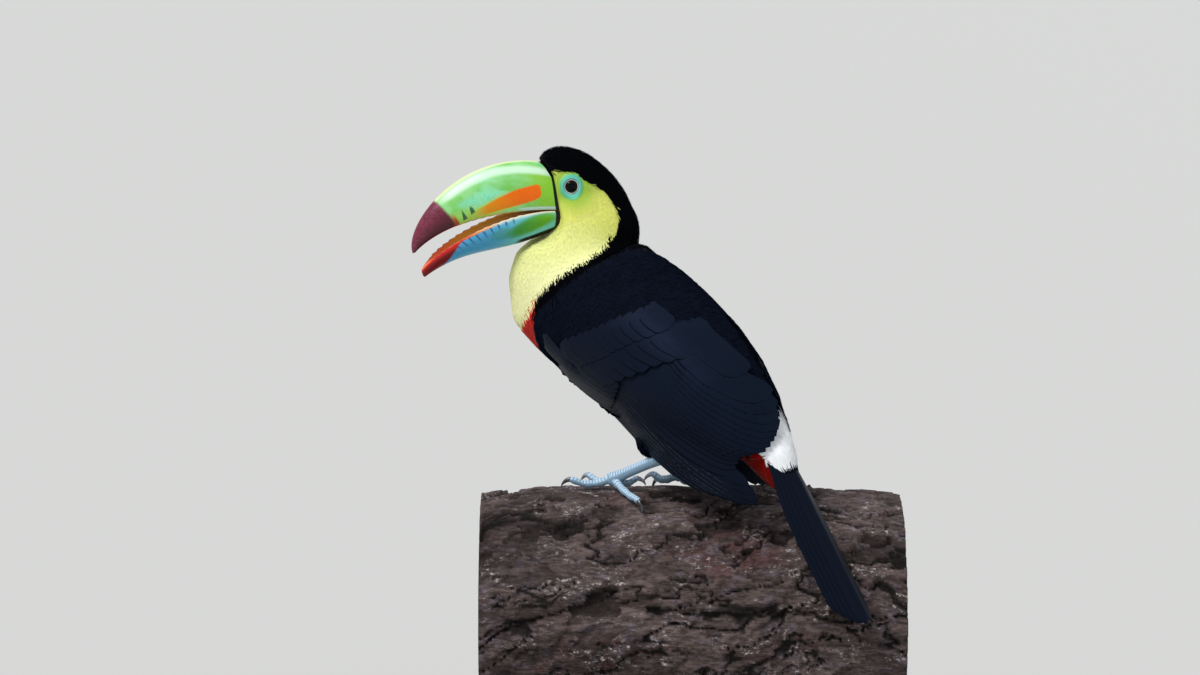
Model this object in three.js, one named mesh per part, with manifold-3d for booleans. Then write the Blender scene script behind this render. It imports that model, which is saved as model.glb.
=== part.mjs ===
// A keel-billed toucan, life size, as a still museum model: it grips a cut length of thick branch
// that two short rods hold over a flat base. Millimetres, +Z up. The toucan looks along -X, and its
// tail hangs in front of the perch, on the -Y side.
import * as THREE from "three";
import { mergeVertices } from "three/addons/utils/BufferGeometryUtils.js";
import Module from "manifold-3d";

const wasm = await Module();
wasm.setup();

const { cos, sin, tan, abs, min, max, pow, sign, sqrt, hypot, PI } = Math;
const rad = THREE.MathUtils.degToRad;
const { lerp, smoothstep, clamp } = THREE.MathUtils;
const vec = (x, y, z = 0) => new THREE.Vector3(x, y, z);

// ---- driving sizes -------------------------------------------------------------------------

const gap = 0.3; // between two solids that meet

// The branch lies along X with its crest at height 0; everything is lifted onto the stand at the end.
const perch = {
  start: -122,
  end: 182,
  halfWide: 84,
  halfTall: 89,
  crest: 1,
  droop: 6.5, // at both ends
  droopAfter: [-60, 110],
};
const stand = { long: 290, wide: 232, thick: 14, corner: 14, rod: 7, rise: 40, span: 150, at: [30, -12] };

// Body plane: heading is how far the toucan turns from the perch's own line, in degrees.
const body = { heading: 38, origin: vec(-2.5, -1) };
// Head plane: turned back towards the toucan's left, with a little roll.
const head = { heading: -12, roll: 4.5, pivot: 200, lift: 1.3, origin: vec(-51.2, 38) };

// Trunk and neck, from the tail coverts to inside the head, in the body plane. Along and up place
// the middle of a section, back, front and wide are its sizes from there, and turn twists the neck.
const torso = [
  { along: -128, up: 7, back: 6, front: 6, wide: 6, turn: 0 },
  { along: -120, up: 19.5, back: 15, front: 16, wide: 13, turn: 0 },
  { along: -109, up: 36, back: 19, front: 20, wide: 20, turn: 0 },
  { along: -93, up: 53, back: 28, front: 29, wide: 28, turn: 0 },
  { along: -66, up: 71, back: 39, front: 39.5, wide: 37, turn: 0 },
  { along: -30, up: 90.5, back: 50, front: 50, wide: 44, turn: 0 },
  { along: 6, up: 112, back: 54, front: 52, wide: 47, turn: 0 },
  { along: 40, up: 131, back: 57, front: 60, wide: 45, turn: -5 },
  { along: 60, up: 152, back: 51, front: 61, wide: 40, turn: -16 },
  { along: 62, up: 176, back: 41, front: 40, wide: 32, turn: -32 },
  { along: 63, up: 198, back: 39, front: 32, wide: 27, turn: -44 },
  { along: 62, up: 211, back: 27, front: 24, wide: 20, turn: -48 },
];
// Flat cuts that part the head, the neck and the tail coverts: a point of the plane and its normal.
const parting = {
  head: { at: vec(-50, 38, 189), normal: vec(-0.3, 0, 0.95) },
  neck: { at: vec(-50, 30, 164), normal: vec(-0.3, 0.1, 0.95) },
  coverts: { at: vec(83, -67, 48), normal: vec(0.62, -0.48, -0.62) },
};

// Head, from the nape to the bill, in the head plane.
const skull = [
  { along: -37, up: 197, deep: 4, wide: 4 },
  { along: -32, up: 197, deep: 18, wide: 12 },
  { along: -20, up: 198.5, deep: 30, wide: 18 },
  { along: -6, up: 202.5, deep: 36, wide: 20.5 },
  { along: 8, up: 206, deep: 37.5, wide: 20.5 },
  { along: 20, up: 208.5, deep: 35, wide: 19 },
  { along: 31, up: 209, deep: 28, wide: 16.5 },
  { along: 37, up: 210, deep: 20, wide: 13 },
];

const bill = {
  wide: 16, // half width at the base
  wall: 1.6, // of the edges beside the mouth
  upper: {
    ridge: [vec(20, 230.4), vec(88.3, 246.2), vec(130.9, 185.1), vec(122, 165.9)],
    edge: [vec(10, 197.9), vec(36.2, 200.9), vec(97.5, 197.1), vec(121, 166.5)],
    hollow: 4.5,
  },
  lower: {
    ridge: [vec(6, 188), vec(59.1, 160.1), vec(77.7, 175), vec(114.5, 147.8)],
    edge: [vec(8, 196.4), vec(43, 204.4), vec(102.4, 175.1), vec(115.6, 153.6)],
    hollow: 5,
  },
};
// The line where the bill leaves the face, in the head plane, from above the forehead to the chin.
const face = [
  vec(33, 252),
  vec(31, 232.5),
  vec(27.5, 229),
  vec(23.4, 222),
  vec(21.5, 210),
  vec(19.5, 199),
  vec(18.5, 196),
  vec(18.5, 185),
  vec(22.5, 179.5),
  vec(33, 175),
];
const eye = { radius: 6.2, along: 10.5, up: 215, side: 14.8 };

// Folded wing, in the body plane: rows across it from the bend at the breast to the last feathers.
// Each row gives along, out from the midplane and up at its back edge, its middle and its front edge.
const wing = {
  thick: 7,
  rim: 1.6,
  cover: [
    [vec(40, 37, 155), vec(58, 43, 141), vec(74, 34, 126)],
    [vec(25, 35, 164), vec(56, 49, 131), vec(77, 31, 107)],
    [vec(6, 31, 165), vec(44, 52, 123), vec(67, 32, 91)],
    [vec(-17, 27, 152), vec(8, 54, 109), vec(31, 32, 66)],
    [vec(-51, 23, 130), vec(-31, 51, 91), vec(-10, 32, 50)],
    [vec(-84, 17, 103), vec(-68, 45, 76), vec(-60, 36, 41)],
    [vec(-106, 12, 79), vec(-101, 30, 60), vec(-98, 31, 29)],
    [vec(-119, 9, 58), vec(-120, 16, 46), vec(-116, 21, 29)],
  ],
  quills: [
    [vec(-4, 43, 77), vec(-4, 40, 61), vec(-4, 29, 46)],
    [vec(-50, 41, 55), vec(-50, 41, 40), vec(-51, 36, 25)],
    [vec(-80, 34, 40), vec(-74, 35, 26), vec(-68, 33, 12)],
    [vec(-105, 26, 28), vec(-98, 27, 16), vec(-91, 26, 4)],
    [vec(-114, 18, 10), vec(-114, 18, 5), vec(-111, 17, 0)],
  ],
};

// Tail, in the body plane: a shallow roof of feathers whose ridge runs from root to tip.
const tail = {
  root: vec(-113, 42),
  tip: vec(-194, -81),
  slope: 22,
  at: [0, 0.14, 0.3, 0.55, 0.8, 0.93, 0.98, 1],
  halfWide: [9, 13, 16.5, 19.5, 19.5, 17, 13, 8],
  thick: [9, 9, 7.5, 6, 5, 4, 3, 2.2],
};

// Legs and feet. A toe is its length in plan and its direction, in degrees from +X towards +Y.
const legs = {
  left: {
    joint: [-27, -12],
    ankle: vec(8, -35, 23.5),
    hip: vec(-1, -20, 64),
    sock: vec(9, -34, 25.5),
    toes: [[18, 5], [23, 142], [31, 182], [35, -58]],
  },
  right: {
    joint: [21, 4],
    ankle: vec(54, -20, 26),
    hip: vec(38, -8, 64),
    sock: vec(55, -20, 27.5),
    toes: [[16, -62], [20, 165], [34, 118], [36, -45]],
  },
};
const foot = { jointHeight: 7.2, knuckle: 4.3, thick: 3.1, tip: 2.5, lift: 3.4, shank: 3.4 };
const claw = { thick: 2.1, arc: 6.6, hook: 82 };
const thigh = { top: 21, end: 13.5 };

// ---- solids --------------------------------------------------------------------------------

// A manifold solid from a closed geometry, turned outwards if its faces point in.
function solidOf(geometry) {
  const bare = geometry.clone();
  bare.deleteAttribute("normal");
  bare.deleteAttribute("uv");
  const merged = mergeVertices(bare, 1e-4);
  const vertProperties = new Float32Array(merged.attributes.position.array);
  const faces = new Uint32Array(merged.index.array);
  const build = () => new wasm.Manifold(new wasm.Mesh({ numProp: 3, vertProperties, triVerts: faces }));
  const made = build();
  if (made.volume() > 0) return made;
  for (let i = 0; i < faces.length; i += 3) [faces[i + 1], faces[i + 2]] = [faces[i + 2], faces[i + 1]];
  return build();
}

// A closed solid from rings of the same number of points, capped at both ends.
function ringSolid(rings) {
  const count = rings[0].length;
  const points = rings.flat();
  const middle = (ring) => ring.reduce((sum, p) => sum.add(p), vec(0, 0)).divideScalar(count);
  points.push(middle(rings[0]), middle(rings.at(-1)));
  const firstCap = points.length - 2;
  const lastCap = points.length - 1;
  const lastRing = (rings.length - 1) * count;
  const index = [];
  for (let r = 0; r < rings.length - 1; r++)
    for (let i = 0; i < count; i++) {
      const a = r * count + i;
      const b = r * count + ((i + 1) % count);
      index.push(a, b, b + count, a, b + count, a + count);
    }
  for (let i = 0; i < count; i++) {
    const next = (i + 1) % count;
    index.push(firstCap, next, i, lastCap, lastRing + i, lastRing + next);
  }
  return solidOf(new THREE.BufferGeometry().setFromPoints(points).setIndex(index));
}

function geometryOf(solid) {
  const mesh = solid.getMesh();
  return new THREE.BufferGeometry()
    .setAttribute("position", new THREE.BufferAttribute(new Float32Array(mesh.vertProperties), 3))
    .setIndex(new THREE.BufferAttribute(new Uint32Array(mesh.triVerts), 1));
}

// The largest body left after a cut.
const largest = (solid) => solid.decompose().sort((a, b) => b.volume() - a.volume())[0];

// The plane of a heading: maps (forward, side, up) to the part's frame. Side is the toucan's right.
function uprightPlane({ heading, origin, roll = 0, pivot = 0, lift = 0 }) {
  const forward = vec(-cos(rad(heading)), sin(rad(heading)));
  const side = vec(sin(rad(heading)), cos(rad(heading))).applyAxisAngle(forward, rad(-roll));
  const up = vec(0, 0, 1).applyAxisAngle(forward, rad(-roll));
  const base = origin.clone().setZ(pivot + lift);
  return (a, s, u) =>
    base.clone().addScaledVector(forward, a).addScaledVector(side, s).addScaledVector(up, u - pivot);
}
const inBody = uprightPlane(body);
const inHead = uprightPlane(head);

// A smooth curve of each named value through the stations, read at t from 0 to 1.
function through(stations, names) {
  const curves = [];
  for (let i = 0; i < names.length; i += 3) {
    const three = names.slice(i, i + 3);
    const points = stations.map((s) => vec(...[0, 1, 2].map((k) => s[three[k]] ?? 0)));
    curves.push([three, new THREE.CatmullRomCurve3(points, false, "catmullrom", 0.5)]);
  }
  return (t) => {
    const values = {};
    for (const [three, curve] of curves) {
      const p = curve.getPoint(clamp(t, 0, 1));
      three.forEach((name, k) => (values[name] = p.getComponent(k)));
    }
    return values;
  };
}

// A signed power, which squares off or pinches a round section.
const bent = (x, n) => sign(x) * pow(abs(x), n);

// A round bar along points, with a radius for each; flat squashes it along the lift direction.
function bar(points, radii, sides = 10, flat = 1, lift = vec(0, 0, 1)) {
  const rings = points.map((p, i) => {
    const before = points[max(i - 1, 0)];
    const after = points[min(i + 1, points.length - 1)];
    const along = after.clone().sub(before).normalize();
    const across = along.clone().cross(lift).normalize();
    const up = across.clone().cross(along);
    const ring = [];
    for (let k = 0; k < sides; k++) {
      const turn = (2 * PI * k) / sides;
      ring.push(
        p
          .clone()
          .addScaledVector(across, cos(turn) * radii[i])
          .addScaledVector(up, sin(turn) * radii[i] * flat),
      );
    }
    return ring;
  });
  return ringSolid(rings);
}

const ball = (at, radius, wide = 12, high = 7) =>
  solidOf(new THREE.SphereGeometry(radius, wide, high).translate(at.x, at.y, at.z));

// ---- trunk, neck and head ------------------------------------------------------------------

const torsoAt = through(torso, ["along", "up", "turn", "back", "front", "wide"]);

// A point of the torso: t runs from tail to head, round is 0 at the right side and 90 at the back.
function torsoPoint(t, round, grow) {
  const here = torsoAt(t);
  const before = torsoAt(t - 0.01);
  const after = torsoAt(t + 0.01);
  const run = hypot(after.along - before.along, after.up - before.up);
  const ahead = (after.along - before.along) / run;
  const rise = (after.up - before.up) / run;
  const across = (here.wide + grow) * bent(cos(round), 0.94);
  const deep = sin(round) > 0 ? here.back : here.front;
  const out = (deep + grow) * bent(sin(round), 0.94);
  const centre = inBody(here.along, 0, here.up);
  return inBody(here.along - rise * out, across, here.up + ahead * out)
    .sub(centre)
    .applyAxisAngle(vec(0, 0, 1), rad(-here.turn))
    .add(centre);
}

function makeTorso(rings, grow = 0, sides = 19) {
  const list = [];
  for (let r = 0; r <= rings; r++) {
    // Rings stand closer where the breast turns up into the neck.
    const t = r / rings + 0.05 * (sin(2 * PI * (r / rings - 0.12)) + sin(2 * PI * 0.12));
    const ring = [];
    for (let i = 0; i < sides; i++) ring.push(torsoPoint(t, (2 * PI * i) / sides, grow));
    list.push(ring);
  }
  return ringSolid(list);
}

const skullAt = through(skull, ["along", "up", "deep", "wide"]);

function makeSkull(grow = 0, rings = 10, sides = 18) {
  const list = [];
  for (let r = 0; r <= rings; r++) {
    const here = skullAt(r / rings);
    const ring = [];
    for (let i = 0; i < sides; i++) {
      const round = (2 * PI * i) / sides;
      const across = (here.wide + grow) * bent(cos(round), 0.86);
      ring.push(inHead(here.along, across, here.up + (here.deep + grow) * bent(sin(round), 0.95)));
    }
    list.push(ring);
  }
  return ringSolid(list);
}

// ---- bill ----------------------------------------------------------------------------------

const billHalfWide = (t) => bill.wide * (1 - 0.3 * t - 0.62 * pow(t, 4));

// One half of the bill, between a ridge and the edges of the mouth, hollow on the mouth's side.
function makeMandible({ ridge, edge, hollow }, grow = 0, rings = 12) {
  const ridgeAt = new THREE.CubicBezierCurve3(...ridge);
  const edgeAt = new THREE.CubicBezierCurve3(...edge);
  const outer = 12;
  const inner = 4;
  const list = [];
  for (let r = 0; r <= rings; r++) {
    const t = 1 - pow(1 - r / rings, 1.15);
    const top = ridgeAt.getPoint(t);
    const low = edgeAt.getPoint(t);
    const tall = max(top.distanceTo(low), 1.2);
    const rise = top.clone().sub(low).normalize();
    const wide = max(billHalfWide(t), 1) + grow;
    const place = (side, high) => inHead(low.x + rise.x * high, side, low.y + rise.y * high);
    const ring = [];
    for (let i = 0; i <= outer; i++) {
      const turn = (PI * i) / outer;
      const high = sin(turn);
      const round = pow(max(1 - pow(high, 2.3), 0), 0.56) * (0.94 + 0.06 * min(1, high / 0.25));
      ring.push(place(sign(cos(turn)) * wide * round, high * (tall + 2 * grow) - grow));
    }
    const floor = min(wide - bill.wall, wide * 0.8);
    const sunk = grow ? 0 : min(hollow, 0.35 * tall) * smoothstep(1 - t, 0.04, 0.25);
    for (let i = 1; i < inner; i++) {
      const across = 1 - (2 * i) / inner;
      ring.push(place(-across * floor, sunk * (1 - pow(across, 4)) - grow));
    }
    list.push(ring);
  }
  return ringSolid(list);
}

// Everything in front of the line where the bill leaves the face.
function makeMuzzle(grow) {
  const beyond = [vec(150, 135), vec(150, face[0].y)];
  const points = [...face, ...beyond].map((p) => new THREE.Vector2(p.x, p.y));
  const block = new THREE.ExtrudeGeometry(new THREE.Shape(points), { depth: 80, bevelEnabled: false });
  const corners = block.attributes.position;
  for (let i = 0; i < corners.count; i++) {
    const placed = inHead(corners.getX(i) - grow, corners.getZ(i) - 40, corners.getY(i));
    corners.setXYZ(i, placed.x, placed.y, placed.z);
  }
  return solidOf(block);
}

// ---- wings and tail ------------------------------------------------------------------------

// A curved shell over the body from rows of three points: back edge, middle and front edge.
function makeShell(rows, right, thick, grow = 0, steps = 6, length = 8) {
  const rails = [0, 1, 2].map(
    (k) => new THREE.CatmullRomCurve3(rows.map((row) => row[k]), false, "catmullrom", 0.5),
  );
  const list = [];
  for (let r = 0; r <= length; r++) {
    const t = r / length;
    const [back, middle, front] = rails.map((rail) => rail.getPoint(t));
    const along = rails[1].getTangent(t);
    if (r === 0) [back, middle, front].forEach((p) => p.addScaledVector(along, -grow));
    if (r === length) [back, middle, front].forEach((p) => p.addScaledVector(along, grow));
    const bulge = middle.clone().sub(back.clone().lerp(front, 0.5));
    const across = (v) => back.clone().lerp(front, v).addScaledVector(bulge, 1 - pow(abs(2 * v - 1), 2.6));
    const full = min(1, 0.45 + 3 * min(t, 1 - t));
    const outside = [];
    const inside = [];
    for (let i = 0; i <= steps; i++) {
      const v = i / steps;
      const p = across(v);
      const tangent = across(min(v + 0.05, 1)).sub(across(max(v - 0.05, 0))).normalize();
      // Outward is away from the midplane, square to the row and to the wing's length.
      const out = tangent.clone().cross(along).normalize();
      if (out.y < 0) out.negate();
      const edge = i === 0 ? -1 : i === steps ? 1 : 0;
      p.addScaledVector(tangent, edge * grow);
      const depth = lerp(wing.rim, thick * full, pow(sin(PI * v), 0.7));
      outside.push(p.clone().addScaledVector(out, grow));
      inside.push(p.clone().addScaledVector(out, -depth - grow));
    }
    const ring = [...outside, ...inside.reverse()];
    list.push(ring.map((p) => inBody(p.x, right ? p.y : -p.y, p.z)));
  }
  return ringSolid(list);
}
const makeWing = (right, grow = 0) =>
  makeShell(wing.cover, right, wing.thick, grow).add(
    makeShell(wing.quills, right, wing.thick * 0.6, grow, 3, 5),
  );

function makeTail(grow = 0) {
  const axis = tail.tip.clone().sub(tail.root);
  const span = axis.length() + grow;
  axis.normalize();
  const upward = vec(axis.y, -axis.x); // square to the axis, towards the back
  const steps = 8;
  const list = tail.at.map((at, r) => {
    const centre = tail.root.clone().addScaledVector(axis, at * span);
    const wide = tail.halfWide[r] + grow;
    const half = tail.thick[r] / 2 + grow;
    const place = (across, high) => {
      const lift = high - abs(across) * tan(rad(tail.slope)) + wide * 0.2;
      return inBody(centre.x + upward.x * lift, across, centre.y + upward.y * lift);
    };
    const ring = [];
    for (let i = 0; i <= steps; i++) ring.push(place(lerp(-wide, wide, i / steps), half));
    for (let i = steps; i >= 0; i--) ring.push(place(lerp(-wide, wide, i / steps), -half));
    return ring;
  });
  return ringSolid(list);
}

// ---- perch, legs and feet ------------------------------------------------------------------

// Height of the branch's crest, which sinks a little towards both ends.
function crestAt(x) {
  const [low, high] = perch.droopAfter;
  const past = x < low ? (low - x) / (low - perch.start) : x > high ? (x - high) / (perch.end - high) : 0;
  return perch.crest - perch.droop * past * past;
}

// The point h above the branch's bark, over the plan position x, y.
function onPerch(x, y, h) {
  const level = sqrt(1 - pow(y / perch.halfWide, 2));
  const out = vec(0, y / pow(perch.halfWide, 2), level / perch.halfTall).normalize();
  return vec(x, y, crestAt(x) - perch.halfTall * (1 - level)).addScaledVector(out, h);
}

function makePerch(grow = 0, rings = 9, sides = 32) {
  const list = [];
  for (let r = 0; r <= rings; r++) {
    const x = lerp(perch.start, perch.end, r / rings);
    const centre = crestAt(x) - perch.halfTall;
    const ring = [];
    for (let i = 0; i < sides; i++) {
      const turn = (2 * PI * i) / sides;
      // The lower half swells and sinks a little, as a grown branch does.
      const low = max(0, 0.2 - sin(turn));
      const swell = 1 + low * (0.011 * sin(x / 37 + 3 * turn) + 0.009 * sin(x / 23 - 2 * turn));
      const wide = perch.halfWide * swell + grow;
      const tall = perch.halfTall * swell + grow;
      ring.push(vec(x, cos(turn) * wide, centre + sin(turn) * tall));
    }
    list.push(ring);
  }
  return ringSolid(list);
}

// The middle of the joint that the toes spread from.
const jointOf = ({ joint }) => onPerch(joint[0], joint[1], foot.jointHeight);

const toePlan = (leg, direction, reach) => [
  leg.joint[0] + reach * cos(rad(direction)),
  leg.joint[1] + reach * sin(rad(direction)),
];

// A toe from the joint of the foot to its last knuckle, lying on the bark.
function makeToe(leg, number, grow = 0) {
  const [length, direction] = leg.toes[number - 1];
  const points = [];
  const radii = [];
  const steps = 6;
  for (let i = 0; i <= steps; i++) {
    const t = i / steps;
    const [x, y] = toePlan(leg, direction, t * length);
    points.push(onPerch(x, y, toeHeight(t) + gap));
    radii.push(lerp(foot.thick, foot.tip, t) + grow);
  }
  return bar(points, radii, 8, 0.95);
}

// Height of a toe's middle over the bark: it comes down from the joint and lifts at the last knuckle.
function toeHeight(t) {
  const lying = lerp(foot.jointHeight - 0.8, foot.thick + gap, smoothstep(t, 0, 0.45));
  return lying + foot.lift * smoothstep(t, 0.62, 1);
}

function makeClaw(leg, number) {
  const [length, direction] = leg.toes[number - 1];
  const points = [];
  const radii = [];
  const steps = 4;
  for (let i = 0; i <= steps; i++) {
    const t = i / steps;
    const turn = rad(claw.hook) * t;
    const [x, y] = toePlan(leg, direction, length + gap + claw.arc * sin(turn));
    points.push(onPerch(x, y, toeHeight(1) + gap - claw.arc * (1 - cos(turn))));
    radii.push(lerp(claw.thick, 0.45, pow(t, 1.2)));
  }
  return bar(points, radii, 6, 1.1);
}

function makeShank(leg, grow = 0) {
  const from = jointOf(leg);
  const points = [];
  const radii = [];
  for (let i = 0; i <= 4; i++) {
    const t = i / 4;
    points.push(from.clone().lerp(leg.ankle, t));
    radii.push(foot.shank + 0.9 * pow(abs(2 * t - 1), 3) + grow);
  }
  return bar(points, radii, 9).add(ball(from, foot.knuckle + grow, 9, 6));
}

function makeThigh(leg, grow = 0) {
  const points = [];
  const radii = [];
  for (let i = 0; i <= 6; i++) {
    const t = i / 6;
    points.push(leg.hip.clone().lerp(leg.sock, t));
    const round = sqrt(max(0.2, 1 - pow(max(0, (t - 0.66) / 0.36), 2)));
    radii.push(lerp(thigh.top, thigh.end, t) * round + grow);
  }
  return bar(points, radii, 11);
}

// ---- assemble ------------------------------------------------------------------------------

const toucan = new THREE.Group();
const floor = perch.crest - 2 * perch.halfTall - stand.rise - stand.thick;
function add(name, solid, color, roughness = 0.8) {
  const geometry = geometryOf(solid.translate([0, 0, -floor]));
  const mesh = new THREE.Mesh(geometry, new THREE.MeshStandardMaterial({ color, roughness }));
  mesh.name = name;
  toucan.add(mesh);
}

const muzzle = makeMuzzle(0);
const upperBill = makeMandible(bill.upper).intersect(muzzle);
const lowerBill = makeMandible(bill.lower).intersect(muzzle);
const eyes = { left: -1, right: 1 };
const eyeAt = (side) => inHead(eye.along, eyes[side] * eye.side, eye.up);
const wingSolids = { left: makeWing(false), right: makeWing(true) };
const grownWings = makeWing(false, gap).add(makeWing(true, gap)).add(wingSolids.left).add(wingSolids.right);

// Torso and head are one solid first, which the wings, the bill and the eyes are set into.
const torsoSolid = makeTorso(20);
let flesh = torsoSolid.add(makeSkull()).subtract(makeMuzzle(gap)).subtract(grownWings);
for (const side of ["left", "right"]) {
  flesh = flesh.subtract(ball(eyeAt(side), eye.radius + gap));
  add(`eye_${side}`, ball(eyeAt(side), eye.radius), 0x14100c, 0.1);
}
// The piece of the flesh beyond one plane and short of another.
function between(solid, from, to) {
  let piece = solid;
  for (const [plane, way] of [[from, 1], [to, -1]]) {
    if (!plane) continue;
    const normal = plane.normal.clone().normalize();
    const offset = normal.dot(plane.at) + (way * gap) / 2;
    normal.multiplyScalar(way);
    piece = piece.trimByPlane([normal.x, normal.y, normal.z], way * offset);
  }
  return largest(piece);
}
add("bill_upper", upperBill, 0x86c440, 0.35);
add("bill_lower", lowerBill, 0x54a8cc, 0.35);
add("head", between(flesh, parting.head, null), 0x15161a);
add("neck", between(flesh, parting.neck, parting.head), 0xf2e36a);
const lowFlesh = between(flesh, null, parting.neck);
add("trunk", between(lowFlesh, null, parting.coverts), 0x111217);
add("tail_coverts", between(lowFlesh, parting.coverts, null), 0xf4f4f0);
add("wing_left", wingSolids.left, 0x16181f);
add("wing_right", wingSolids.right, 0x16181f);
const grownTorso = makeTorso(12, gap).add(torsoSolid);
add("tail", largest(makeTail().subtract(grownTorso).subtract(grownWings)), 0x14161c);

for (const [side, leg] of Object.entries(legs)) {
  const grownShank = makeShank(leg, gap);
  const thighSolid = makeThigh(leg).subtract(grownTorso).subtract(grownWings);
  add(`thigh_${side}`, largest(thighSolid.subtract(grownShank)), 0x121318);
  add(`tarsus_${side}`, largest(makeShank(leg)), 0x9fb9c9);
  let taken = grownShank;
  for (const number of [3, 4, 2, 1]) {
    add(`toe_${side}_${number}`, largest(makeToe(leg, number).subtract(taken)), 0xa9c3d2);
    taken = taken.add(makeToe(leg, number, gap));
  }
  for (const number of [3, 4, 2, 1])
    add(`claw_${side}_${number}`, largest(makeClaw(leg, number).subtract(taken)), 0x3a3a3c, 0.4);
}

add("perch", makePerch(), 0x5d4a3c, 0.95);
const plate = new THREE.Shape();
const [halfLong, halfWide] = [stand.long / 2, stand.wide / 2];
plate.moveTo(-halfLong + stand.corner, -halfWide);
plate.lineTo(halfLong - stand.corner, -halfWide);
plate.absarc(halfLong - stand.corner, -halfWide + stand.corner, stand.corner, -PI / 2, 0);
plate.absarc(halfLong - stand.corner, halfWide - stand.corner, stand.corner, 0, PI / 2);
plate.absarc(-halfLong + stand.corner, halfWide - stand.corner, stand.corner, PI / 2, PI);
plate.absarc(-halfLong + stand.corner, -halfWide + stand.corner, stand.corner, PI, 1.5 * PI);
const slab = new THREE.ExtrudeGeometry(plate, { depth: stand.thick, bevelEnabled: false, curveSegments: 4 });
add("stand_base", solidOf(slab.translate(stand.at[0], stand.at[1], floor)), 0x2b2a28, 0.5);
const grownPerch = makePerch(gap);
for (const [number, way] of [[1, -1], [2, 1]]) {
  const long = stand.rise + 30;
  const rod = new THREE.CylinderGeometry(stand.rod, stand.rod, long, 16).rotateX(PI / 2);
  rod.translate(stand.at[0] + (way * stand.span) / 2, 0, floor + stand.thick + gap + long / 2);
  add(`stand_rod_${number}`, largest(solidOf(rod).subtract(grownPerch)), 0x8a8f94, 0.35);
}

// The origin is the middle of the underside of the whole.
const whole = new THREE.Box3().setFromObject(toucan);
const middle = whole.getCenter(vec(0, 0));
for (const mesh of toucan.children) mesh.geometry.translate(-middle.x, -middle.y, -whole.min.z);

export default toucan;
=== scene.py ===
from math import atan2, cos, degrees, pi, radians, sin, sqrt

import bmesh
import bpy
import numpy as np
from mathutils import Matrix, Vector, noise
from mathutils.bvhtree import BVHTree


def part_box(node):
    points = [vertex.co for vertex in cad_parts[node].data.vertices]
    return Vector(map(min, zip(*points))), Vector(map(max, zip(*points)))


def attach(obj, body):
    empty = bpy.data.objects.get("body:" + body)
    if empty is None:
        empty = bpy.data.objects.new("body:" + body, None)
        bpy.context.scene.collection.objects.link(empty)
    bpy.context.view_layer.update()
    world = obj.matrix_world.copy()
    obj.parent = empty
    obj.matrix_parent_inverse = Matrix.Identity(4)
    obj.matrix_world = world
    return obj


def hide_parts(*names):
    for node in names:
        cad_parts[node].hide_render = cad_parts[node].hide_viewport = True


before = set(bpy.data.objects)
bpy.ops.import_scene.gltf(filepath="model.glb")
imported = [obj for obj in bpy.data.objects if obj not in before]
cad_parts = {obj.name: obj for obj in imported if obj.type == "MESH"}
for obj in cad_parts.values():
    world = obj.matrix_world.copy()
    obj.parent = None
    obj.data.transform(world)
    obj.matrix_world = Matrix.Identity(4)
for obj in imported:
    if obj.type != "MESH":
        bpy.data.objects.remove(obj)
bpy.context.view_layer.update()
mm = 0.001
dice = np.random.default_rng(7)


# Lengths are in millimetres from the top of the branch between the feet, and places in metres.
perchLow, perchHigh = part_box("perch")
crest = np.array([perchLow.x + 0.122, (perchLow.y + perchHigh.y) / 2, perchHigh.z - 0.001])


class Plane:
    # An upright plane of the toucan: along its heading, sideways to its right, and up.
    def __init__(self, bearing, origin, roll=0, pivot=0, lift=0):
        turn = radians(bearing)
        forward = Vector((-cos(turn), sin(turn), 0))
        tilt = Matrix.Rotation(radians(-roll), 3, forward)
        side = tilt @ Vector((sin(turn), cos(turn), 0))
        up = tilt @ Vector((0, 0, 1))
        self.axes = np.array([forward, side, up])
        self.base = crest + mm * np.array([origin[0], origin[1], pivot + lift])
        self.pivot = pivot

    def place(self, along, side, up):
        local = np.stack(np.broadcast_arrays(along, side, np.asarray(up) - self.pivot), -1)
        return self.base + mm * (local @ self.axes)

    def read(self, points):
        local = (np.asarray(points) - self.base) @ self.axes.T / mm
        local[..., 2] += self.pivot
        return local


heading = {"body": 38, "head": -12}  # degrees from straight across the view
inBody = Plane(heading["body"], (-2.5, -1))
inHead = Plane(heading["head"], (-51.2, 38), roll=4.5, pivot=200, lift=1.3)


def smooth(value, low, high):
    t = np.clip((np.asarray(value, float) - low) / (high - low), 0, 1)
    return t * t * (3 - 2 * t)


def unit(vectors):
    return vectors / np.maximum(np.linalg.norm(vectors, axis=-1, keepdims=True), 1e-12)


# A smooth curve through stations, read at t from 0 to 1; each station is a list of numbers.
def curveThrough(stations):
    points = np.array(stations, float)
    points = np.vstack([2 * points[0] - points[1], points, 2 * points[-1] - points[-2]])

    def read(t):
        place = np.clip(np.asarray(t, float), 0, 1) * (len(points) - 3)
        start = np.minimum(place.astype(int), len(points) - 4)
        x = (place - start)[..., None]
        a, b, c, d = (points[start + k] for k in range(4))
        even, odd = 2 * a - 5 * b + 4 * c - d, 3 * b - a - 3 * c + d
        return 0.5 * (2 * b + (c - a) * x + even * x**2 + odd * x**3)

    return read


def bezier(corners):
    points = np.array(corners, float)

    def read(t):
        x = np.asarray(t, float)[..., None]
        a, b, c, d = points
        return (1 - x) ** 3 * a + 3 * (1 - x) ** 2 * x * b + 3 * (1 - x) * x**2 * c + x**3 * d

    return read


def colour(red, green, blue):
    # A display colour from 0 to 255 as the light that it reflects.
    parts = [c / 255 for c in (red, green, blue)]
    return tuple(c / 12.92 if c < 0.04 else ((c + 0.055) / 1.055) ** 2.4 for c in parts) + (1,)


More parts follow.
